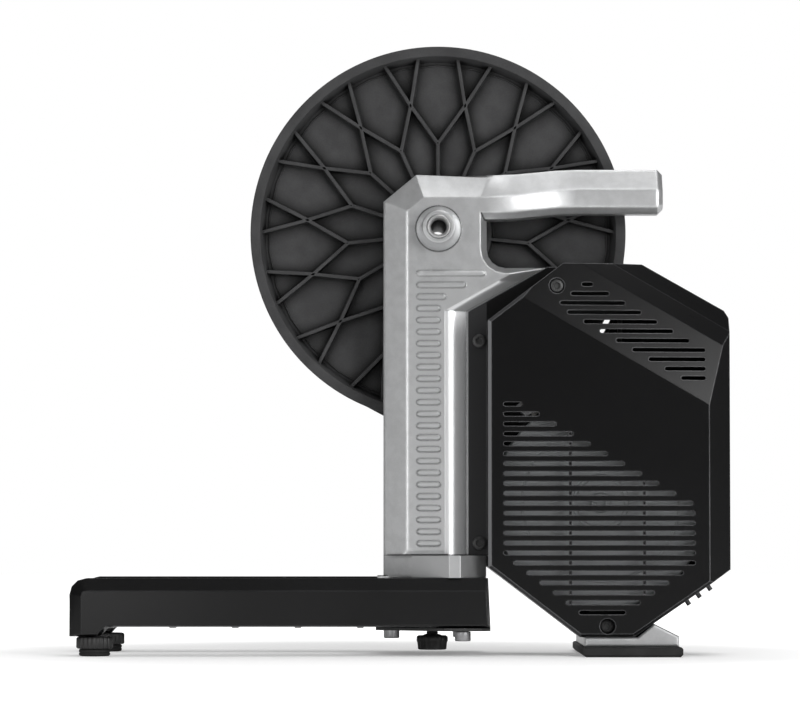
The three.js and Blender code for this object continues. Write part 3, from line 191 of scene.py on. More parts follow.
@dataclass(frozen=True)
class Finish:
    """One surface finish, painted as a procedural material in object space.

    Tones multiply the colour. The edge fields round the edges and paint highlights along them, the corner
    shade fields paint shade into narrow corners, and the last ones paint light into a zone and into the
    chamfers that face left, and shade onto the web behind the slots.
    """

    name: str
    slot: str
    colour: Point3
    texture: Texture
    roughness: float
    metallic: float = 0.0
    specular: float = 0.5
    variation: float = 0.15
    roughness_spread: float = 0.08
    blotch_size: float = 40
    grain_size: float = 1
    grain_height: float = 0.03
    ring_pitch: float = 0.8
    centre: Point3 = MAIN_AXIS
    edge_radius: float = 0.0
    edge_highlight_gain: float = 0.0
    edge_highlight_tone: float = 7.0
    corner_shade: float = 0.0
    corner_shade_reach: float = 1.6
    corner_shade_start: float = 0.5
    soft_radius: float = 0.0
    zone: Steps = ()
    painted_light_tone: float = 1.0
    painted_chamfer_light: float = 0.0
    painted_slot_shade: float = 0.0

    def material(self) -> bpy.types.Material:
        """Makes the material on its first use.

        Returns:
            The material.
        """
        material = bpy.data.materials.get(self.name)
        if not material:
            material = bpy.data.materials.new(self.name)
            material.use_nodes = True
            FinishSheet(material.node_tree, self).draw()
        return material


class FinishSheet(ShaderSheet):
    """The sheet that one finish is drawn on.

    Shares and limits are those of noises from 0 to 1. Samples are those of the rounded edges, of the softer
    ones and of the shade in corners.
    """

    EDGE_SAMPLES, SOFT_SAMPLES, CORNER_SAMPLES = 4, 8, 6
    NOISE_ROUGHNESS = 0.55
    BLOTCH_DETAIL, GRAIN_DETAIL, PIT_DETAIL, RING_DETAIL = 4.0, 2.0, 1.0, 3.0
    BLOTCH_SHARE, COARSE_SHARE, PIT_SHARE, RING_SHARE = 0.7, 0.35, 0.4, 0.7
    COARSE_SIZE, PIT_SIZE = 1 / 0.28, 1 / 2.2
    TONE_LIMITS, MOULD_LIMITS = (0.32, 0.68), (0.35, 0.65)
    WEAR_LIMITS, WEAR_PATCHES, LEAST_WEAR = (0.004, 0.07), (0.3, 0.55), 0.5
    OPEN_FROM = 0.97
    RIB_RADIUS, RIB_TONES = 0.7, (0.95, 1.05)

    def __init__(self, tree: bpy.types.NodeTree, finish: Finish) -> None:
        """Starts the sheet with the place in object space, two noises and the plain colour between them.

        Args:
            tree: The material's node tree.
            finish: The finish to draw.
        """
        super().__init__(tree)
        self.finish = finish
        self.place = self.add("ShaderNodeTexCoord", output="Object")
        self.blotch = self._noise(finish.blotch_size, self.BLOTCH_DETAIL)
        self.grain = self._noise(finish.grain_size, self.GRAIN_DETAIL)
        mixed = self.blotch * self.BLOTCH_SHARE + self.grain * (1 - self.BLOTCH_SHARE)
        tones = (self._tone(1 - finish.variation), self._tone(1 + finish.variation))
        self.base = self.mix(self.range_of(mixed, *self.TONE_LIMITS), *tones)

    def draw(self) -> None:
        """Draws the shader: colour, roughness and relief from the same noises."""
        finish = self.finish
        relief = self._relief()
        bump = {"Height": relief, "Strength": 1.0, "Distance": finish.grain_height * MM}
        if finish.edge_radius:
            bump["Normal"] = self._bevel(finish.edge_radius, self.EDGE_SAMPLES)
        # Painted highlights along the edges.
        if finish.edge_highlight_gain:
            self._paint_edge_highlights(bump["Normal"])
        if finish.soft_radius:
            bump["Normal"] = self._softened(bump["Normal"])
        # Painted light on the zone: the ledge's flank of the casting and the flange of the cover.
        if finish.zone:
            self._paint(self._mask(finish.zone), finish.painted_light_tone)
        # Painted light on the chamfers that face left.
        if finish.painted_chamfer_light:
            flat = self.add("ShaderNodeNewGeometry", output="True Normal")
            self._paint(self._mask(LEFT_CHAMFERS, flat, 1.0), finish.painted_chamfer_light)
        # Painted shade in narrow corners.
        if finish.corner_shade:
            self._paint_corner_shade()
        # Painted shade on the web behind the slots.
        if finish.painted_slot_shade:
            self._paint(self._mask(WEB_BEHIND_SLOTS), finish.painted_slot_shade)
        least_rough = finish.roughness - finish.roughness_spread / 2
        surface = self.add("ShaderNodeBsdfPrincipled", {}, {
            "Base Color": self.base,
            "Metallic": finish.metallic,
            "Specular IOR Level": finish.specular,
            "Roughness": (relief * finish.roughness_spread + least_rough).clipped(),
            "Normal": self.add("ShaderNodeBump", {}, bump),
        })
        self.add("ShaderNodeOutputMaterial", {}, {"Surface": surface})

    def _tone(self, gain: float) -> tuple[float, float, float, float]:
        """Returns the finish's colour after a gain, with its alpha."""
        return (*(part * gain for part in self.finish.colour), 1.0)

    def _paint(self, mask: Channel, gain: float) -> None:
        """Paints a tone over the colour where a mask is 1."""
        self.base = self.mix(mask, self.base, self._tone(gain))

    def _noise(self, size: float, detail: float) -> Channel:
        """Adds fractal noise, from 0 to 1, with features of about one size."""
        inputs = {"Vector": self.place, "Scale": 1 / (size * MM), "Detail": detail}
        return self.add("ShaderNodeTexNoise", {}, {**inputs, "Roughness": self.NOISE_ROUGHNESS})

    def _bevel(self, radius: float, samples: int) -> Channel:
        """Returns the normal with its edges rounded by a radius."""
        return self.add("ShaderNodeBevel", {"samples": samples}, {"Radius": radius * MM})

    def _mask(self, steps: Steps, vector: Channel | None = None, unit: float = MM) -> Channel:
        """Multiplies soft steps into one mask.

        Args:
            steps: Axis, where the mask is 0 and where it is 1.
            vector: The vector that the steps go by. Without one they go by place.
            unit: The steps' unit.

        Returns:
            The mask, from 0 to 1.
        """
        mask: Channel | float = 1.0
        for axis, none, full in steps:
            value = self.add("ShaderNodeSeparateXYZ", {}, {0: vector or self.place}, output=axis)
            rise = self.range_of(value, min(none, full) * unit, max(none, full) * unit)
            mask = mask * (rise if none < full else 1.0 - rise)
        return mask

    def _relief(self) -> Channel:
        """Mixes the height pattern of the finish's texture.

        Returns:
            The pattern, from 0 to 1.
        """
        size, texture = self.finish.grain_size, self.finish.texture
        if texture is Texture.MOULDED:
            return self.range_of(self.grain, *self.MOULD_LIMITS)
        if texture is Texture.TURNED:
            other, share = self._rings(), self.RING_SHARE
        elif texture is Texture.RUBBER:
            other, share = self._noise(size * self.PIT_SIZE, self.PIT_DETAIL), self.PIT_SHARE
        else:
            other, share = self._noise(size * self.COARSE_SIZE, self.GRAIN_DETAIL), self.COARSE_SHARE
        return self.grain * (1 - share) + other * share

    def _rings(self) -> Channel:
        """Lays fine lathe rings around the axis along Y through the finish's centre.

        Returns:
            The rings, from 0 to 1.
        """
        shifted = self.vector("SUBTRACT", self.place, self.finish.centre)
        distance = self.vector("LENGTH", self.vector("MULTIPLY", shifted, (1.0, 0.0, 1.0)), output="Value")
        inputs = {"W": distance, "Scale": 1 / (self.finish.ring_pitch * MM), "Detail": self.RING_DETAIL}
        return self.add("ShaderNodeTexNoise", {"noise_dimensions": "1D"}, inputs)

    def _paint_edge_highlights(self, rounded: Channel) -> None:
        """Paints highlights along the edges, uneven in patches, where the rounded normal leaves the flat one.

        Args:
            rounded: The normal with its edges rounded.
        """
        flat = self.add("ShaderNodeNewGeometry", output="Normal")
        along = self.vector("DOT_PRODUCT", flat, rounded, output="Value")
        highlight_share = self.range_of(self.blotch, *self.WEAR_PATCHES) * (1 - self.LEAST_WEAR) + self.LEAST_WEAR
        edge = self.range_of(1.0 - along, *self.WEAR_LIMITS) * highlight_share
        self._paint(edge * self.finish.edge_highlight_gain, self.finish.edge_highlight_tone)

    def _paint_corner_shade(self) -> None:
        """Paints shade into the colour in narrow corners, found by ambient occlusion."""
        settings = {"samples": self.CORNER_SAMPLES, "only_local": True}
        inputs = {"Distance": self.finish.corner_shade_reach * MM}
        open_share = self.add("ShaderNodeAmbientOcclusion", settings, inputs, output="AO")
        clear = self.range_of(open_share, self.finish.corner_shade_start, self.OPEN_FROM)
        self.base = self.mix(clear, self._tone(self.finish.corner_shade), self.base)

    def _softened(self, normal: Channel) -> Channel:
        """Rolls the casting's handle, left edge and flank more, and the plain ribs on its face less.

        Args:
            normal: The normal with the usual edge radius.

        Returns:
            The normal with every radius.
        """
        ribs = self._mask(FACE_RIBS)
        self.base = self.mix(ribs, self.base, self.mix(self.blotch, *map(self._tone, self.RIB_TONES)))
        handle = self._mask(HANDLE) + self._mask(LEFT_EDGE)
        for radius, share in ((self.RIB_RADIUS, ribs), (self.finish.soft_radius, handle)):
            normal = self.mix(share, normal, self._bevel(radius, self.SOFT_SAMPLES), self.NORMALS)
        flat = self.add("ShaderNodeNewGeometry", output="Normal")
        rolled = self.mix(self._mask(FLANK_ROLL), tuple(NEAR), flat, self.NORMALS)
        return self.mix(self._mask(LEDGE_FLANK), normal, rolled, self.NORMALS)


# Its edges get painted highlights, its corners painted shade, the ledge's flank painted light and the web
# behind the slots painted shade.
CAST_SILVER = Finish(
    "cast silver", "cast_silver", (0.55, 0.555, 0.56), Texture.CAST, roughness=0.31, metallic=0.7,
    variation=0.07, roughness_spread=0.12, blotch_size=9, grain_size=0.9, grain_height=0.055, edge_radius=2,
    edge_highlight_gain=0.6, edge_highlight_tone=1.5, corner_shade=0.12, corner_shade_start=0.76, soft_radius=4, zone=LEDGE_FLANK,
    painted_light_tone=1.4, painted_slot_shade=0.05,
)
# Its edges get painted highlights, and its flange and the chamfers that face left get painted light.
COVER_BLACK = Finish(
    "cover black", "cover_black", (0.006, 0.006, 0.0062), Texture.MOULDED, roughness=0.2, specular=0.2,
    variation=0.06, roughness_spread=0.02, blotch_size=60, grain_size=0.7, grain_height=0.0012,
    edge_radius=1.2, edge_highlight_gain=1.0, edge_highlight_tone=26.0, zone=COVER_FLANGE, painted_light_tone=5.0, painted_chamfer_light=30.0,
)
# Its edges get painted highlights and its corners painted shade.
DISC_BLACK = Finish(
    "disc black", "disc_black", (0.046, 0.046, 0.047), Texture.CAST, roughness=0.55, specular=0.15,
    variation=0.2, roughness_spread=0.15, blotch_size=24, grain_size=1.2, grain_height=0.04, edge_radius=0.5,
    edge_highlight_gain=0.8, edge_highlight_tone=2.6, corner_shade=0.1, corner_shade_reach=12,
)
# Its edges get painted highlights.
LEG_BLACK = Finish(
    "leg black", "leg_black", (0.006, 0.006, 0.0062), Texture.MOULDED, roughness=0.2, specular=0.3,
    roughness_spread=0.02, blotch_size=50, grain_size=0.8, grain_height=0.001, edge_radius=1.8, edge_highlight_gain=0.5,
    edge_highlight_tone=9.0,
)
KNOB_BLACK = Finish(
    "knob black", "knob_black", (0.02, 0.02, 0.02), Texture.MOULDED, roughness=0.46, variation=0.2,
    blotch_size=8, grain_size=0.6, grain_height=0.02,
)
DARK_STEEL = Finish(
    "dark steel", "steel", (0.045, 0.045, 0.046), Texture.TURNED, roughness=0.42, metallic=0.6,
    variation=0.08, blotch_size=12, grain_height=0.015, ring_pitch=0.4,
)
BELT_RUBBER = Finish(
    "belt rubber", "rubber", (0.02, 0.02, 0.02), Texture.RUBBER, roughness=0.6, specular=0.4, variation=0.2,
    blotch_size=20, grain_size=0.9,
)
SOLE_RUBBER = Finish(
    "sole rubber", "rubber", (0.017, 0.017, 0.017), Texture.RUBBER, roughness=0.72, specular=0.3,
    variation=0.25, blotch_size=14, grain_size=0.7, grain_height=0.05,
)
FLYWHEEL_STEEL = Finish(
    "flywheel steel", "flywheel_grey", (0.36, 0.37, 0.38), Texture.TURNED, roughness=0.4, metallic=0.3,
    variation=0.1, centre=FLYWHEEL_AXIS,
)
GROUND_STEEL = Finish(
    "ground steel", "bearing_steel", (0.6, 0.6, 0.61), Texture.TURNED, roughness=0.22, metallic=1.0,
    variation=0.04, grain_height=0.008, ring_pitch=0.3,
)
# Its edges get painted highlights and its corners painted shade.
CAP_SILVER = Finish(
    "cap silver", "steel", (0.5, 0.5, 0.5), Texture.TURNED, roughness=0.33, metallic=0.7, variation=0.06,
    grain_height=0.012, ring_pitch=0.35, edge_radius=0.4, edge_highlight_gain=0.8, edge_highlight_tone=1.7, corner_shade=0.12,
    corner_shade_reach=4,
)
ANODISED_BLACK = Finish(
    "anodised black", "anodised_black", (0.03, 0.03, 0.032), Texture.TURNED, roughness=0.36, metallic=0.5,
    variation=0.1, grain_height=0.012, ring_pitch=0.4,
)
# Its edges get faint painted highlights.
BLACK_STEEL = Finish(
    "black steel", "black_steel", (0.05, 0.05, 0.05), Texture.CAST, roughness=0.38, metallic=0.4,
    blotch_size=6, grain_size=0.5, grain_height=0.01, edge_radius=0.3, edge_highlight_gain=0.1,
)
ZINC_STEEL = Finish(
    "zinc steel", "steel", (0.42, 0.42, 0.43), Texture.CAST, roughness=0.34, metallic=0.9, variation=0.12,
    blotch_size=5, grain_size=0.5, grain_height=0.012, edge_radius=0.3,
)
NICKEL = Finish(
    "magnet nickel", "magnet", (0.6, 0.59, 0.57), Texture.CAST, roughness=0.2, metallic=1.0, variation=0.05,
    grain_height=0.004, edge_radius=0.5,
)
BOARD_GREEN = Finish(
    "board green", "board_green", (0.015, 0.09, 0.035), Texture.MOULDED, roughness=0.35, variation=0.25,
    blotch_size=5, grain_size=0.5, grain_height=0.01,
)
LIGHT_PIPE = Finish(
    "frosted light pipe", "clear_plastic", (0.035, 0.035, 0.037), Texture.MOULDED, roughness=0.25,
    variation=0.08, blotch_size=4, grain_size=0.4, grain_height=0.006, edge_radius=0.3,
)
BUSH_GREY = Finish("bush grey", "bush", (0.08, 0.08, 0.08), Texture.MOULDED, roughness=0.5, variation=0.1)


# Mesh tools


# Points nearer to each other than this are one, in a new piece and in a copy.
WELD, COPY_WELD = 0.002 * MM, 0.004 * MM
# How far a copy's normals follow its larger faces. 50 is even and 100 is wholly.
AREA_WEIGHT = 60
# A corner whose half angle is this near to straight, or to none, in radians, isn't rounded.
STRAIGHT = 0.02
# A fillet takes at most this share of an edge.
FILLET_SHARE = 0.45
# Steps around bolts, turned pieces, the disc and each flute, and the power that shapes a flute's hollow.
BOLT_STEPS, TURNED_STEPS, DISC_STEPS, FLUTE_STEPS = 48, 120, 180, 6
FLUTE_POWER = 1.5
# Edges that fold by more than this, in degrees, stay sharp in usual pieces, bolts, knobs and threads.
USUAL_FOLD, BOLT_FOLD, KNOB_FOLD, THREAD_FOLD = 35.0, 40.0, 50.0, 20.0
# A bearing's races as a share of its ring, how deep its seal lies, and its chamfers.
RACE_SHARE, SEAL_SUNK, SEAL_EDGE = 0.24, 0.5, 0.3


def turns(steps: int) -> list[float]:
    """Returns the angles of a full turn in equal steps."""
    return [2 * math.pi * i / steps for i in range(steps)]


def filleted(points: Sequence[Point2], radius: float, steps: int) -> Outline:
    """Rounds the corners of a closed polygon.

    Args:
        points: Its corners.
        radius: Fillet radius, made smaller where an edge is short.
        steps: Chords of each fillet.

    Returns:
        The rounded outline.
    """
    result: Outline = []
    for i, corner in enumerate(points):
        here = Vector(corner)
        before = Vector(points[i - 1]) - here
        after = Vector(points[(i + 1) % len(points)]) - here
        half = before.angle(after, 0.0) / 2
        if half < STRAIGHT or half > math.pi / 2 - STRAIGHT:
            result.append(corner)
            continue
        reach = min(radius / math.tan(half), before.length * FILLET_SHARE, after.length * FILLET_SHARE)
        first, last = here + before.normalized() * reach, here + after.normalized() * reach
        for k in range(steps + 1):
            t = k / steps
            point = first * (1 - t) ** 2 + here * (2 * t * (1 - t)) + last * t**2
            result.append((point.x, point.y))
    return result


def groove(radius: float, depth: float, places: Sequence[float], shift: float = 0.0) -> Outline:
    """Returns the four corners of a groove in a section: its edge, its floor twice and its other edge."""
    levels = (radius, radius - depth, radius - depth, radius)
    return [(level, place + shift) for level, place in zip(levels, places)]


def sharpen(edges: Iterable[bmesh.types.BMEdge], angle: float) -> None:
    """Keeps edges sharp that fold by more than an angle, in degrees, and shades the others as a curve."""
    for edge in edges:
        edge.smooth = len(edge.link_faces) == 2 and edge.calc_face_angle(math.pi) < math.radians(angle)


def linked(name: str, body: bmesh.types.BMesh) -> bpy.types.Object:
    """Puts a bmesh into the scene as a new object.

    Args:
        name: The object's name.
        body: The bmesh, which is freed.

    Returns:
        The new object.
    """
    for face in body.faces:
        face.smooth = True
    mesh = bpy.data.meshes.new(name)
    body.to_mesh(mesh)
    body.free()
    piece = bpy.data.objects.new(name, mesh)
    bpy.context.scene.collection.objects.link(piece)
    return piece


def mesh_piece(name: str, build: Fill, sharp: float = USUAL_FOLD) -> bpy.types.Object:
    """Makes an object from a function that fills a bmesh.

    Args:
        name: The object's name.
        build: Fills the bmesh.
        sharp: Edges that fold by more than this, in degrees, stay sharp.

    Returns:
        The new object.
    """
    body = bmesh.new()
    build(body)
    bmesh.ops.remove_doubles(body, verts=body.verts, dist=WELD)
    bmesh.ops.recalc_face_normals(body, faces=body.faces)
    sharpen(body.edges, sharp)
    return linked(name, body)


def smooth_copy(node: str, name: str, sharp: float, reshape: Fill | None = None) -> bpy.types.Object:
    """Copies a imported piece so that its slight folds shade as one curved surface.

    Args:
        node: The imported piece.
        name: The copy's name.
        sharp: Edges that fold by more than this, in degrees, stay sharp.
        reshape: What changes in the copy's form, if anything does.

    Returns:
        The copy.
    """
    body = bmesh.new()
    body.from_mesh(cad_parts[node].data)
    bmesh.ops.remove_doubles(body, verts=body.verts, dist=COPY_WELD)
    sharpen(body.edges, sharp)
    if reshape:
        reshape(body)
    piece = linked(name, body)
    weighted = piece.modifiers.new("flat faces stay flat", "WEIGHTED_NORMAL")
    weighted.mode = "FACE_AREA"
    weighted.weight = AREA_WEIGHT
    weighted.keep_sharp = True
    final = bpy.data.meshes.new_from_object(piece.evaluated_get(bpy.context.evaluated_depsgraph_get()))
    piece.modifiers.clear()
    piece.data = final
    return piece


def add_loft(body: bmesh.types.BMesh, rings: Sequence[Sequence[Vector]], closed: bool = False) -> None:
    """Joins rings of equal count with quads.

    Args:
        body: The bmesh to add to.
        rings: Rings of points, in order.
        closed: Whether the last ring joins the first. Otherwise the ends are capped.
    """
    loops = [[body.verts.new(point) for point in ring] for ring in rings]
    pairs = list(zip(loops, loops[1:])) + ([(loops[-1], loops[0])] if closed else [])
    for first, second in pairs:
        for i in range(len(first)):
            j = (i + 1) % len(first)
            body.faces.new((first[i], first[j], second[j], second[i]))
    if not closed:
        body.faces.new(list(reversed(loops[0])))
        body.faces.new(loops[-1])


def add_turned(body: bmesh.types.BMesh, section: Sequence[Point2], centre: Vector, steps: int) -> None:
    """Turns a closed section around an axis along Y.

    Args:
        body: The bmesh to add to.
        section: (radius, place along the axis) corners.
        centre: A point on the axis, where the section's place is 0.
        steps: Steps around.
    """
    rings = []
    for turn in turns(steps):
        x, z = math.cos(turn), math.sin(turn)
        rings.append([centre + Vector((radius * x, along, radius * z)) * MM for radius, along in section])
    add_loft(body, rings, closed=True)


@dataclass(frozen=True)
class Socket:
    """A hexagon sunk into the head of a bolt, with a small chamfer at its mouth."""

    flats: float
    depth: float
    chamfer: Point2 = (0.35, 0.4)

    def reach(self, turn: float) -> float:
        """Returns how far the hexagon reaches in one direction."""
        step = math.pi / 3
        return self.flats / 2 / math.cos((turn % step) - step / 2)


def bolt_piece(
    name: str, tip: Vector, out: Vector, profile: Sequence[Point2], socket: Socket,
) -> bpy.types.Object:
    """Makes a bolt with a hexagon socket in its head.

    Args:
        name: The bolt's name.
        tip: The middle of the head's outer face.
        out: The direction that the head faces.
        profile: (radius, place behind the outer face) points, from the shank's end to the rim of the head.
        socket: The hexagon in the head.

    Returns:
        The bolt.
    """
    side = out.orthogonal().normalized()
    other = out.cross(side).normalized()
    wider, mouth = socket.chamfer
    hexagon = [socket.reach(turn) for turn in turns(BOLT_STEPS)]
    levels = [([radius] * BOLT_STEPS, back) for radius, back in profile]
    levels += [([reach + wider for reach in hexagon], 0.0), (hexagon, mouth), (hexagon, socket.depth)]
    spokes = [side * math.cos(turn) + other * math.sin(turn) for turn in turns(BOLT_STEPS)]
    rings = [
        [tip + (spoke * reach - out * back) * MM for spoke, reach in zip(spokes, row)] for row, back in levels
    ]
    return mesh_piece(name, lambda body: add_loft(body, rings), BOLT_FOLD)


def upright_piece(
    name: str, foot: Vector, profile: Sequence[Point2], steps: int, depth: float = 0.0,
    sharp: float = KNOB_FOLD,
) -> bpy.types.Object:
    """Makes an upright turned piece, whose widest part may carry rounded flutes.

    Args:
        name: The piece's name.
        foot: A point on its axis, where the profile's height is 0.
        profile: (radius, height) points from the bottom to the top.
        steps: Steps around, FLUTE_STEPS for each flute.
        depth: The flutes' depth, or 0 for none.
        sharp: Edges that fold by more than this, in degrees, stay sharp.

    Returns:
        The piece.
    """
    widest = max(radius for radius, _ in profile)
    rings = []
    for radius, height in profile:
        cut = max(0.0, depth - (widest - radius) / 2)
        ring = []
        for turn in turns(steps):
            reach = radius - cut * (0.5 - 0.5 * math.cos(turn * steps / FLUTE_STEPS)) ** FLUTE_POWER
            ring.append(foot + Vector((reach * math.cos(turn), reach * math.sin(turn), height)) * MM)
        rings.append(ring)
    return mesh_piece(name, lambda body: add_loft(body, rings), sharp)


class Box:
    """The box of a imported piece: its corners and middle in metres, its sizes in millimetres."""

    def __init__(self, node: str) -> None:
        """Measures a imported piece.

        Args:
            node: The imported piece.
        """
        self.low, self.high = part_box(node)
        self.middle = (self.low + self.high) / 2
        self.width, self.depth, self.height = (self.high - self.low) / MM
        self.radius = self.width / 2
        self.foot = Vector((self.middle.x, self.middle.y, self.low.z))
        self.near = Vector((self.middle.x, self.low.y, self.middle.z))


def inner_radius(node: str, least: float = 0.0, half_width: float = math.inf) -> float:
    """Finds how near a packed turned piece comes to its axis along Y.

    Args:
        node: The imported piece.
        least: Nearer points than this don't count.
        half_width: Points farther than this from its middle don't count.

    Returns:
        The smallest radius.
    """
    middle = Box(node).middle
    places = [(vertex.co - middle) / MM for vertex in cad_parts[node].data.vertices]
    radii = (math.hypot(place.x, place.z) for place in places if abs(place.y) < half_width)
    return min(radius for radius in radii if radius > least)


class Dresser:
    """What every sub-assembly's class shares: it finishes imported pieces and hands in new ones."""

    def keep(self, finish: Finish, *nodes: str) -> None:
        """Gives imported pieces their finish.

        Args:
            finish: Their finish.
            *nodes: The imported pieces.
        """
        for node in nodes:
            self._dress(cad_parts[node], finish)
            LOG.info("%s: packed form, %s", node, finish.name)

    def hand_in(self, piece: bpy.types.Object, finish: Finish, body: str, node: str) -> None:
        """Finishes a new piece and lets it stand for a packed one.

        Args:
            piece: The new piece.
            finish: Its finish.
            body: The body that it rides on.
            node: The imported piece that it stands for.
        """
        self._dress(piece, finish)
        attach(piece, body)
        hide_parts(node)
        LOG.info("%s: %s, on %s", piece.name, finish.name, body)

    def turn(self, name: str, section: Sequence[Point2], finish: Finish, body: str, node: str) -> None:
        """Turns a closed section, (radius, place behind the near face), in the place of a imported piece."""
        piece = mesh_piece(name, lambda mesh: add_turned(mesh, section, Box(node).near, TURNED_STEPS))
        self.hand_in(piece, finish, body, node)

    def bearing(self, node: str) -> None:
        """Builds a sealed bearing, with both seals sunk between its races, in the place of a packed one.

        Args:
            node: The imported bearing.
        """
        box = Box(node)
        outer, inner, width = box.radius, inner_radius(node), box.depth
        race, edge = (outer - inner) * RACE_SHARE, SEAL_EDGE
        half = [
            (inner, edge), (inner + edge, 0.0), (inner + race, 0.0), (inner + race + edge, SEAL_SUNK),
            (outer - race - edge, SEAL_SUNK), (outer - race, 0.0), (outer - edge, 0.0), (outer, edge),
        ]
        section = half + [(radius, width - along) for radius, along in reversed(half)]
        self.turn(f"sealed_{node}", section, GROUND_STEEL, "frame", node)

    def cap_bolt(
        self, node: str, out: Vector, finish: Finish, head: float, shank: float, socket: Socket,
    ) -> None:
        """Builds a cap bolt with a chamfered head in the place of a packed one.

        Args:
            node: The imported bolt.
            out: The direction that its head faces.
            finish: Its finish.
            head: The head's height.
            shank: The shank's radius.
            socket: The hexagon in the head.
        """
        box = Box(node)
        rim, length = box.radius, abs((box.high - box.low).dot(out)) / MM
        profile = [
            (shank - 0.5, length), (shank, length - 0.6), (shank, head + 0.3), (rim - 0.3, head),
            (rim, head - 0.3), (rim, 0.9), (rim - 0.25, 0.4), (rim - 0.9, 0.0),
        ]
        tip = box.middle + out * length / 2 * MM
        self.hand_in(bolt_piece(f"socket_{node}", tip, out, profile, socket), finish, "frame", node)

    @staticmethod
    def _dress(piece: bpy.types.Object, finish: Finish) -> None:
        """Gives a piece one finish all over."""
        piece.data.materials.clear()
        piece.data.materials.append(finish.material())


# Stage


@dataclass(frozen=True)
class Softbox:
    """A lamp that faces the object: its place and size in metres, and its power in watts."""

    name: str
    place: Point3
    size: Point2
    power: float


SOFTBOXES = (
    Softbox("front right softbox", (1.75, -2.15, 0.65), (1.4, 1.5), 36.0),
    Softbox("front left strip", (-1.5, -2.3, 0.65), (0.6, 1.5), 12.0),
    Softbox("low front card", (1.1, -2.45, 1.0), (0.45, 0.45), 7.0),
    Softbox("front top softbox", (0.3, -1.2, 2.1), (1.8, 0.9), 10.0),
    Softbox("top softbox", (0.5, 0.3, 2.2), (1.2, 0.8), 9.5),
    Softbox("right strip", (2.1, -0.5, 0.6), (0.4, 1.6), 1.5),
    Softbox("left strip", (-2.1, -0.9, 0.6), (0.4, 1.6), 1.0),
    Softbox("low left card", (-0.75, -2.3, 0.12), (0.9, 0.2), 1.6),
    Softbox("back softbox", (-1.1, 2.3, 1.2), (1.4, 1.2), 16.0),
)


@dataclass
class Studio(Dresser):
    """The camera at the photograph's place, a pale floor and soft lamps. Its lengths are in metres."""

    place: Point3 = (-0.0005, -3.118, 0.0963)
    tilt: float = 2.675
    focal_pixels: float = 3816.0
    frame_pixels: int = 800
    sensor: float = 36.0
    view_end: float = 50.0
    floor_half: float = 6.0
    floor_grey: float = 0.9
    glow_from: float = 0.29
    glow_to: float = 0.55
    glow_least: float = 0.2
    glow_most: float = 0.8
    ceiling_from: float = 0.5
    ceiling: float = 0.06
    walls: float = 0.04
    fill: float = 0.34
    aim: Point3 = (0.03, 0.0, 0.25)

    def build(self) -> None:
        """Sets the camera, the floor, the world and the lamps."""
        bpy.context.scene.view_settings.view_transform = "Standard"
        self._camera()
        self._floor()
        self._world()
        for softbox in SOFTBOXES:
            self._lamp(softbox)

    def _camera(self) -> None:
        """Places the camera with a tilt and no shift."""
        data = bpy.data.cameras.new("photo camera")
        data.sensor_width = self.sensor
        data.lens = self.focal_pixels / self.frame_pixels * self.sensor
        data.clip_end = self.view_end
        camera = bpy.data.objects.new("photo camera", data)
        camera.location = self.place
        camera.rotation_euler = (math.radians(90 + self.tilt), 0.0, 0.0)
        bpy.context.scene.collection.objects.link(camera)
        bpy.context.scene.camera = camera

    def _floor(self) -> None:
        """Lays the pale floor, which shows white to the camera and keeps the shadow."""
        sides = ((-1, -1, 0), (1, -1, 0), (1, 1, 0), (-1, 1, 0))
        corners = [Vector(side) * self.floor_half for side in sides]
        floor = mesh_piece("floor", lambda body: body.faces.new([body.verts.new(place) for place in corners]))
        material = bpy.data.materials.new("pale floor")
        material.use_nodes = True
        sheet = ShaderSheet(material.node_tree)
        seen = sheet.add("ShaderNodeLightPath", output="Is Camera Ray")
        paint = sheet.add("ShaderNodeBsdfDiffuse", {}, {"Color": (self.floor_grey,) * 3 + (1.0,)})
        away = sheet.vector("LENGTH", sheet.add("ShaderNodeTexCoord", output="Object"), output="Value")
        rise = sheet.range_of(away, self.glow_from, self.glow_to)
        level = rise * (self.glow_most - self.glow_least) + self.glow_least
        glow = sheet.add("ShaderNodeEmission", {}, {"Color": WHITE, "Strength": seen * level})
        both = sheet.add("ShaderNodeAddShader", {}, {0: paint, 1: glow})
        sheet.add("ShaderNodeOutputMaterial", {}, {"Surface": both})
        floor.data.materials.append(material)

    def _world(self) -> None:
        """Paints the room: white behind the object, and a dim front with a bright ceiling in reflections."""
        world = bpy.data.worlds.new("studio")
        world.use_nodes = True
        bpy.context.scene.world = world
        sheet = ShaderSheet(world.node_tree)
        direction = sheet.add("ShaderNodeTexCoord", output="Generated")
        height = sheet.add("ShaderNodeSeparateXYZ", {}, {0: direction}, output="Z")
        room = sheet.range_of(height, self.ceiling_from, 1.0) * self.ceiling + self.walls
        kinds = ("Is Camera Ray", "Is Transmission Ray", "Is Glossy Ray")
        seen, through, glossy = (sheet.add("ShaderNodeLightPath", output=kind) for kind in kinds)
        white = (seen + through).clipped()
        level = white + (1.0 - white) * (glossy * room + (1.0 - glossy) * self.fill)
        shade = sheet.add("ShaderNodeBackground", {}, {"Color": WHITE, "Strength": level})
        sheet.add("ShaderNodeOutputWorld", {}, {"Surface": shade})

    def _lamp(self, softbox: Softbox) -> None:
        """Hangs one softbox and turns it to the object.

        Args:
            softbox: The lamp to hang.
        """
        data = bpy.data.lights.new(softbox.name, "AREA")
        data.shape = "RECTANGLE"
        data.size, data.size_y = softbox.size
        data.energy = softbox.power
        lamp = bpy.data.objects.new(softbox.name, data)
        lamp.location = softbox.place
        lamp.rotation_euler = (Vector(self.aim) - Vector(softbox.place)).to_track_quat("-Z", "Y").to_euler()
        bpy.context.scene.collection.objects.link(lamp)


# Sub-assemblies


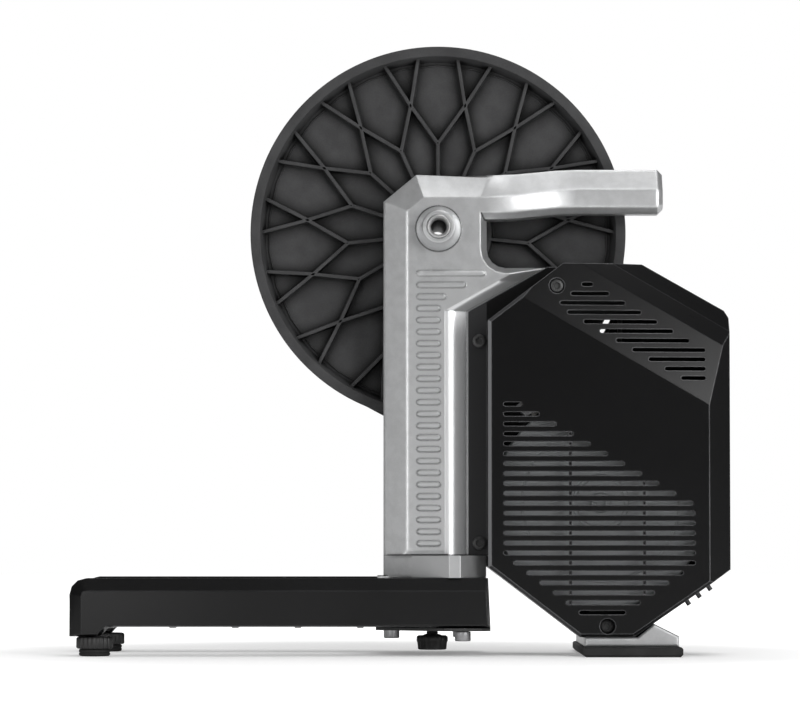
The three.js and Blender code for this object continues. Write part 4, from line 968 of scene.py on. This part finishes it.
@dataclass
class FrameCasting(Dresser):
    """The cast column with its handle, head, base and ledge."""

    fold: float = 16.0
    step_corner: Point3 = (69.7, -36, 388)
    step_seat: Point3 = (69.7, -34.5, 385.8)
    corner_reach: float = 0.2
    neck_reach: float = 8
    neck_bottom: float = 365
    neck_back: float = -30
    neck_fold: float = 60.0

    def build(self) -> None:
        """Builds the casting with its handle's folds blended."""
        piece = smooth_copy("frame_casting", "cast_frame", self.fold, self._blend_neck)
        self.hand_in(piece, CAST_SILVER, "frame", "frame_casting")

    def _blend_neck(self, body: bmesh.types.BMesh) -> None:
        """Closes the step between the head's bevel and the handle's, and shades that fold as a curve.

        Args:
            body: The casting's bmesh.
        """
        corner = Vector(self.step_corner) * MM
        for vertex in body.verts:
            if (vertex.co - corner).length < self.corner_reach * MM:
                vertex.co = Vector(self.step_seat) * MM
        sharpen([edge for edge in body.edges if self._on_neck(edge)], self.neck_fold)

    def _on_neck(self, edge: bmesh.types.BMEdge) -> bool:
        """Tells whether an edge runs across the neck's upper face, near the step.

        Args:
            edge: An edge of the casting.

        Returns:
            Whether it runs there.
        """
        first, last = (vertex.co / MM for vertex in edge.verts)
        middle = (first + last) / 2
        farthest = max(abs(middle.x - self.step_corner[0]), abs(first.x - last.x))
        return farthest < self.neck_reach and middle.z > self.neck_bottom and middle.y < self.neck_back


@dataclass
class PulleyDisc(Dresser):
    """The big ribbed disc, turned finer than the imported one, with rounded ribs on its web."""

    belt_seat: float = 149
    flange_rise: float = 4.7
    far_flange_rise: float = 2.8
    rim_wall: float = 3.3
    rim_slope: float = 4.2
    width: float = 22
    flange: float = 3
    web_front: float = 12
    web_back: float = 16
    plateau: float = 43.8
    plateau_front: float = 4
    recess: float = 26
    recess_front: float = 7
    bore: float = 17.15
    edge: float = 0.9
    arms: int = 15
    rib_width: float = 2.8
    rib_front: float = 4.5
    rib_round: float = 0.55
    rib_spread: float = 0.8
    rib_flare: Point2 = (0.3, 1.6)
    rib_sunk: float = 1
    node_radius: float = 74.3
    cross_radius: float = 107.6
    end_share: float = 0.729
    chord_gap: float = 2.4
    chord_section: Sequence[Point2] = ((-0.5, -0.6), (0.5, -0.6), (0.35, 0.8), (-0.35, 0.8))

    def build(self) -> None:
        """Builds the disc in one piece, with its ribs."""
        self.hand_in(mesh_piece("ribbed_disc", self._fill), DISC_BLACK, "disc", "pulley_disc")

    def _fill(self, body: bmesh.types.BMesh) -> None:
        """Turns the disc, lays the ribs on it and joins their outer ends with a line of straight chords.

        Args:
            body: The bmesh to add to.
        """
        face = self.belt_seat - self.rim_wall
        foot = face - self.rim_slope
        outer, far = self.belt_seat + self.flange_rise, self.belt_seat + self.far_flange_rise
        seat, blend = self.width - self.flange, self.rib_width / 2
        profile = [
            (self.bore, self.recess_front), (self.recess, self.recess_front),
            (self.recess + blend, self.plateau_front), (self.plateau, self.plateau_front),
            (self.plateau + blend, self.web_front), (foot, self.web_front), (face, 0.0), (outer, 0.0),
            (outer, self.flange), (self.belt_seat, self.flange), (self.belt_seat, seat), (far, seat),
            (far, self.width), (face, self.width), (foot, self.web_back), (self.plateau, self.web_back),
            (self.plateau - self.rib_width, self.width), (self.bore, self.width),
        ]
        add_turned(body, filleted(profile, self.edge, 3), Vector(MAIN_AXIS), DISC_STEPS)
        for start, end in self._ribs(foot + self.rib_width):
            self._bar(body, start, end, self._rib_section())
        step = math.pi / self.arms
        for i in range(2 * self.arms):
            start, end = (self._polar(foot - self.chord_gap, turn * step) for turn in (i, i + 1))
            self._bar(body, start, end, self.chord_section)

    def _polar(self, radius: float, turn: float) -> Point2:
        """Returns the place of a radius and a turn from straight up."""
        return (radius * math.sin(turn), radius * math.cos(turn))

    def _ribs(self, rim: float) -> Iterable[tuple[Point2, Point2]]:
        """Finds both ends of each rib: a stem, and two branches that cross their neighbours'.

        Args:
            rim: The radius at which the branches end.

        Returns:
            The ends, rib by rib.
        """
        step = 2 * math.pi / self.arms
        for i in range(self.arms):
            node = self._polar(self.node_radius, i * step)
            yield self._polar(self.plateau - self.rib_width, i * step), node
            for side in (-1, 1):
                crossing = self._polar(self.cross_radius, (i + side / 2) * step)
                yield node, crossing
                yield crossing, self._polar(rim, (i + side * self.end_share) * step)

    def _rib_section(self) -> Outline:
        """Draws a rib's section, with a rounded top and a wider foot.

        Returns:
            (aside, height over the web) corners.
        """
        half, foot = self.rib_width / 2, self.rib_width * self.rib_spread
        rise, (low, high) = self.web_front - self.rib_front, self.rib_flare
        right = [(foot, -self.rib_sunk), (foot, low), (half, high), (half, rise)]
        return filleted(right + [(-aside, height) for aside, height in reversed(right)], self.rib_round, 2)

    def _bar(self, body: bmesh.types.BMesh, start: Point2, end: Point2, section: Sequence[Point2]) -> None:
        """Lays a straight bar on the web.

        Args:
            body: The bmesh to add to.
            start: Where it starts, across and up from the axis.
            end: Where it ends.
            section: (aside, height over the web) corners.
        """
        ends = [Vector((x, self.web_front, z)) for x, z in (start, end)]
        side = (ends[1] - ends[0]).cross(NEAR).normalized()
        axis = Vector(MAIN_AXIS)
        add_loft(body, [[axis + (point + side * a + NEAR * b) * MM for a, b in section] for point in ends])


@dataclass
class BeltDrive(Dresser):
    """The belt and the axle set: bearings, end caps, main axle and freehub body."""

    bore: float = 6.3
    belt_back: float = 2.4
    belt_edge: float = 0.3
    belt_ribs: int = 6
    belt_rib: Sequence[Point2] = ((2.5, 0.12), (3.3, 0.4), (3.3, 0.6), (2.5, 0.88))
    disc_steps: int = 150
    pulley_steps: int = 40
    groove_depth: float = 0.5
    near_groove: Sequence[float] = (6.0, 6.4, 7.2, 7.6)
    drive_groove: Sequence[float] = (1.4, 1.7, 2.2, 2.5)
    drive_groove_pitch: float = 1.7

    def build(self) -> None:
        """Builds the belt, the caps and the bearings, and finishes the axle and the freehub body."""
        self.hand_in(mesh_piece("ribbed_belt", self._fill_belt), BELT_RUBBER, "frame", "drive_belt")
        self.keep(DARK_STEEL, "main_axle")
        self.keep(ANODISED_BLACK, "freehub_body")
        self._near_cap()
        self._drive_cap()
        for side in ("near", "far"):
            self.bearing(f"disc_bearing_{side}")

    def _fill_belt(self, body: bmesh.types.BMesh) -> None:
        """Lays the ribbed belt around the disc and the small pulley.

        Args:
            body: The bmesh to add to.
        """
        box = Box("drive_belt")
        large, small = (Vector((axis[0], axis[2])) for axis in (MAIN_AXIS, FLYWHEEL_AXIS))
        reach, small_reach = (large.x - box.low.x + box.high.z - large.y) / 2, small.y - box.low.z
        across = small - large
        lean = math.acos((reach - small_reach) / across.length)
        heading = math.atan2(across.y, across.x)
        loop = []
        for centre, radius, start, sweep, steps in (
            (large, reach, heading + lean, 2 * (math.pi - lean), self.disc_steps),
            (small, small_reach, heading - lean, 2 * lean, self.pulley_steps),
        ):
            angles = (start + sweep * i / steps for i in range(steps + 1))
            loop += [centre + Vector((math.cos(angle), math.sin(angle))) * radius for angle in angles]
        rings, section = [], self._belt_section(box.depth)
        for i, point in enumerate(loop):
            along = loop[(i + 1) % len(loop)] - loop[i - 1]
            inward = Vector((-along.y, 0.0, along.x)).normalized()
            outer = Vector((point.x, box.low.y, point.y))
            rings.append([outer + (inward * deep + FAR * aside) * MM for deep, aside in section])
        add_loft(body, rings, closed=True)

    def _belt_section(self, width: float) -> Outline:
        """Draws the belt's section, with ribs inside.

        Args:
            width: The belt's width.

        Returns:
            (depth under its outer face, place across it) corners.
        """
        back, edge, pitch = self.belt_back, self.belt_edge, width / self.belt_ribs
        section = [(0.0, edge), (edge, 0.0), (back, 0.0)]
        for i in range(self.belt_ribs):
            section += [(deep, (i + share) * pitch) for deep, share in self.belt_rib]
        return section + [(back, width), (edge, width), (0.0, width - edge)]

    def _near_cap(self) -> None:
        """Builds the stepped end cap with its groove, seen on the axle boss."""
        box = Box("near_end_cap")
        rim, length = box.radius, box.depth
        section = [
            (self.bore, length), (self.bore, 5.2), (6.9, 4.6), (7.2, 1.3), (7.9, 0.9), (8.2, 0.0),
            (rim - 0.7, 0.0), (rim, 0.7), *groove(rim, self.groove_depth, self.near_groove), (rim, length),
        ]
        self.turn("stepped_end_cap", filleted(section, 0.25, 2), CAP_SILVER, "frame", "near_end_cap")

    def _drive_cap(self) -> None:
        """Builds the drive side's end cap, with finger grooves around it."""
        box = Box("drive_end_cap")
        rim, length, bore = box.radius, box.depth, self.bore
        section = [(bore, 0.0), (rim - 0.4, 0.0), (rim, 0.4)]
        for i in range(3):
            section += groove(rim, self.groove_depth, self.drive_groove, i * self.drive_groove_pitch)
        section += [
            (rim, length - 0.8), (rim - 0.8, length), (bore + 2.2, length), (bore + 1.8, length - 0.9),
            (bore + 0.6, length - 1.2), (bore, length - 1.8),
        ]
        self.turn("grooved_end_cap", section, CAP_SILVER, "frame", "drive_end_cap")


@dataclass
class Flywheel(Dresser):
    """The flywheel with its shaft, bearings and small pulley."""

    web: float = 8
    rim: float = 24
    hub: float = 20
    bore: float = 8.1
    shaft_groove: Sequence[float] = (3, 2.6, 1.4, 1)
    shaft_socket: Socket = Socket(7, 3.5)
    pulley_bore: float = 8.15
    seat_least: float = 10
    seat_half_width: float = 8.6
    pulley_flange: float = 2.6
    belt_groove: Sequence[float] = (0.2, 0.9, 1.3, 2.0)
    belt_groove_depth: float = 1.1
    belt_groove_pitch: float = 2.34

    def build(self) -> None:
        """Builds the flywheel, its shaft, bearings and grooved pulley."""
        self._wheel()
        self._shaft()
        for side in ("near", "far"):
            self.bearing(f"shaft_bearing_{side}")
        self._pulley()

    def _wheel(self) -> None:
        """Turns the flywheel: a flat near face with fine steps, and a heavy rim around a hollow behind."""
        box = Box("flywheel")
        rim, width = box.radius, box.depth
        inner, hub, web, bore = rim - self.rim, self.hub, self.web, self.bore
        section = [
            (bore, 0.5), (hub - 1, 0.5), (hub, 1.2), (hub + 2, 1.2), (hub + 3, 0.0), (inner, 0.0),
            (inner + 0.6, 0.6), (inner + 1.6, 0.6), (inner + 2.2, 0.0), (rim - 1.2, 0.0), (rim, 1.2),
            (rim, width - 1.2), (rim - 1.2, width), (inner, width), (inner - 2, width - 2),
            (inner - 2, web + 2), (inner - 4, web), (hub + 2, web), (hub, web + 2), (hub, width - 3),
            (hub - 1, width - 2), (bore, width - 2),
        ]
        self.turn("turned_flywheel", section, FLYWHEEL_STEEL, "flywheel", "flywheel")

    def _shaft(self) -> None:
        """Turns the shaft, with a centre bolt sunk in its near end."""
        box = Box("flywheel_shaft")
        radius, length = box.radius, box.depth
        profile = [
            (radius - 1.5, length), (radius, length - 1.5), *groove(radius, 0.3, self.shaft_groove),
            (radius - 1, 0.0),
        ]
        shaft = bolt_piece("bolted_shaft", box.near, NEAR, profile, self.shaft_socket)
        self.hand_in(shaft, FLYWHEEL_STEEL, "flywheel", "flywheel_shaft")

    def _pulley(self) -> None:
        """Turns the small pulley with its flanges and belt grooves."""
        box = Box("drive_pulley")
        rim, width, flange, bore = box.radius, box.depth, self.pulley_flange, self.pulley_bore
        seat = inner_radius("drive_pulley", self.seat_least, self.seat_half_width)
        pitch = self.belt_groove_pitch
        count = int((width - 2 * flange) / pitch)
        start = (width - count * pitch) / 2
        section = [(bore, 0.0), (rim - 0.5, 0.0), (rim, 0.5), (rim, flange), (seat, flange)]
        for i in range(count):
            section += groove(seat, self.belt_groove_depth, self.belt_groove, start + i * pitch)
        section += [(seat, width - flange), (rim, width - flange), (rim, width - 0.5), (rim - 0.5, width)]
        section.append((bore, width))
        self.turn("grooved_pulley", section, ANODISED_BLACK, "flywheel", "drive_pulley")


class MagnetBrake(Dresser):
    """The sliding magnet carrier and the motor that moves it."""

    def build(self) -> None:
        """Finishes the brake."""
        self.keep(ZINC_STEEL, "brake_carrier", "brake_push_rod")
        self.keep(NICKEL, "brake_magnet_1", "brake_magnet_2", "brake_magnet_3")
        self.keep(BLACK_STEEL, "brake_motor")


@dataclass
class Covers(Dresser):
    """Both covers and their screws."""

    head: float = 3.2
    shank: float = 2.2
    socket: Socket = Socket(4.6, 2.1)

    def build(self) -> None:
        """Finishes the covers and builds their screws."""
        self.keep(COVER_BLACK, "side_cover", "drive_side_cover")
        for side, out in (("", NEAR), ("drive_", FAR)):
            for i in (1, 2, 3, 4):
                self.cap_bolt(f"{side}cover_screw_{i}", out, BLACK_STEEL, self.head, self.shank, self.socket)


@dataclass
class Legs(Dresser):
    """The two folding legs with their bolts, bushes and screw feet, and the foot between them."""

    fold: float = 22.0
    head: float = 7.6
    shank_share: float = 0.62
    socket: Socket = Socket(6, 3.2)
    thread_pitch: float = 1.5
    stud_tooth: Sequence[Point2] = ((0.7, 0.0), (0.0, 0.6), (0.0, 0.825))
    stem_tooth: Sequence[Point2] = ((0.6, 0.0), (0.0, 0.6), (0.0, 0.9))
    flute: float = 0.9
    knob_steps: int = 24 * FLUTE_STEPS
    foot_steps: int = 18 * FLUTE_STEPS
    pad_steps: int = 72
    pad_groove: Sequence[float] = (2.4, 2.7, 3.1, 3.4)
    stud_steps: int = 40

    def build(self) -> None:
        """Finishes both legs and builds their bolts and feet."""
        for side in ("near", "far"):
            leg = f"{side}_leg"
            self.hand_in(smooth_copy(leg, f"cast_{leg}", self.fold), LEG_BLACK, leg, leg)
            self.keep(BUSH_GREY, f"{leg}_bush")
            for node in (f"{side}_pivot_bolt", f"{side}_plate_bolt"):
                shank = Box(node).radius * self.shank_share
                self.cap_bolt(node, DOWN, ZINC_STEEL, self.head, shank, self.socket)
            self._knob(side)
            self._stud(side)
            self._pad(side)
        self.keep(BLACK_STEEL, "pivot_plate")
        self._centre_foot()

    def _knob(self, side: str) -> None:
        """Builds the fluted knob of one foot.

        Args:
            side: The foot's side, near or far.
        """
        box = Box(f"{side}_foot_knob")
        rim, top = box.radius, box.height
        profile = [
            (rim - 3, 0.0), (rim - 1, 0.0), (rim, 0.9), (rim, top - 1.6), (rim - 0.5, top - 0.6),
            (rim - 1.8, top), (rim - 4, top),
        ]
        knob = upright_piece(f"fluted_{side}_knob", box.foot, profile, self.knob_steps, self.flute)
        self.hand_in(knob, KNOB_BLACK, f"{side}_foot", f"{side}_foot_knob")

    def _thread(self, radius: float, start: float, end: float, tooth: Sequence[Point2]) -> Outline:
        """Returns the profile of a thread: one tooth, (depth, height) corners, for each pitch."""
        feet = [start + i * self.thread_pitch for i in range(int((end - start) / self.thread_pitch))]
        return [(radius - depth, foot + height) for foot in feet for depth, height in tooth]

    def _stud(self, side: str) -> None:
        """Builds the threaded stud of one foot.

        Args:
            side: The foot's side, near or far.
        """
        box = Box(f"{side}_foot_stud")
        rim, top = box.radius, box.height
        profile = [(rim - 1, 0.0), *self._thread(rim, 0.6, top - 0.9, self.stud_tooth), (rim - 1, top)]
        stud = upright_piece(f"threaded_{side}_stud", box.foot, profile, self.stud_steps, sharp=THREAD_FOLD)
        self.hand_in(stud, ZINC_STEEL, f"{side}_foot", f"{side}_foot_stud")

    def _pad(self, side: str) -> None:
        """Builds the rubber pad of one foot, with two rings around it.

        Args:
            side: The foot's side, near or far.
        """
        box = Box(f"{side}_foot_pad")
        rim, top = box.radius, box.height
        profile = [
            (rim - 2.2, 0.0), (rim - 0.8, 0.3), (rim, 1.2), *groove(rim, 0.5, self.pad_groove),
            (rim, top - 0.8), (rim - 0.8, top),
        ]
        pad = upright_piece(f"ringed_{side}_pad", box.foot, profile, self.pad_steps)
        self.hand_in(pad, SOLE_RUBBER, f"{side}_foot", f"{side}_foot_pad")

    def _centre_foot(self) -> None:
        """Builds the middle foot: a fluted knob, a threaded stem and a rubber face."""
        box = Box("centre_foot")
        rim, stem, top = box.radius, box.radius - 7.9, box.height
        profile = [
            (rim - 2.6, 0.0), (rim - 1.2, 0.4), (rim - 0.6, 6), (rim, 7.5), (rim, 10.5), (rim - 1.4, 11.6),
            (rim - 5.2, 11.6), (rim - 5.6, 12.2), *self._thread(stem, 13, top - 2, self.stem_tooth),
            (stem - 0.8, top),
        ]
        piece = upright_piece("fluted_centre_foot", box.foot, profile, self.foot_steps, self.flute)
        self.hand_in(piece, KNOB_BLACK, "centre_foot", "centre_foot")


@dataclass
class RearFoot(Dresser):
    """The rear bar with its sole and bolts."""

    head: float = 4
    shank_share: float = 0.6
    socket: Socket = Socket(4, 2.2)

    def build(self) -> None:
        """Finishes the rear foot and builds its bolts."""
        self.keep(LEG_BLACK, "rear_foot")
        self.keep(CAST_SILVER, "rear_cap_near", "rear_cap_far")
        self.keep(SOLE_RUBBER, "rear_foot_sole")
        for node in ("rear_foot_bolt_1", "rear_foot_bolt_2"):
            self.cap_bolt(node, DOWN, ZINC_STEEL, self.head, Box(node).radius * self.shank_share, self.socket)


class Electronics(Dresser):
    """The circuit board, the light pipes and the power inlet."""

    def build(self) -> None:
        """Finishes the electronics."""
        self.keep(BOARD_GREEN, "circuit_board")
        self.keep(LIGHT_PIPE, "status_light_1", "status_light_2", "status_light_3")
        self.keep(KNOB_BLACK, "power_inlet")


def main() -> None:
    """Builds the stage and every sub-assembly in order."""
    logging.basicConfig(level=logging.INFO, format="%(name)s: %(message)s")
    parts = (
        Studio(), FrameCasting(), PulleyDisc(), BeltDrive(), Flywheel(), MagnetBrake(), Covers(), Legs(),
        RearFoot(), Electronics(),
    )
    for part in parts:
        LOG.info("building %s", type(part).__name__)
        part.build()


if __name__ == "__main__":
    main()
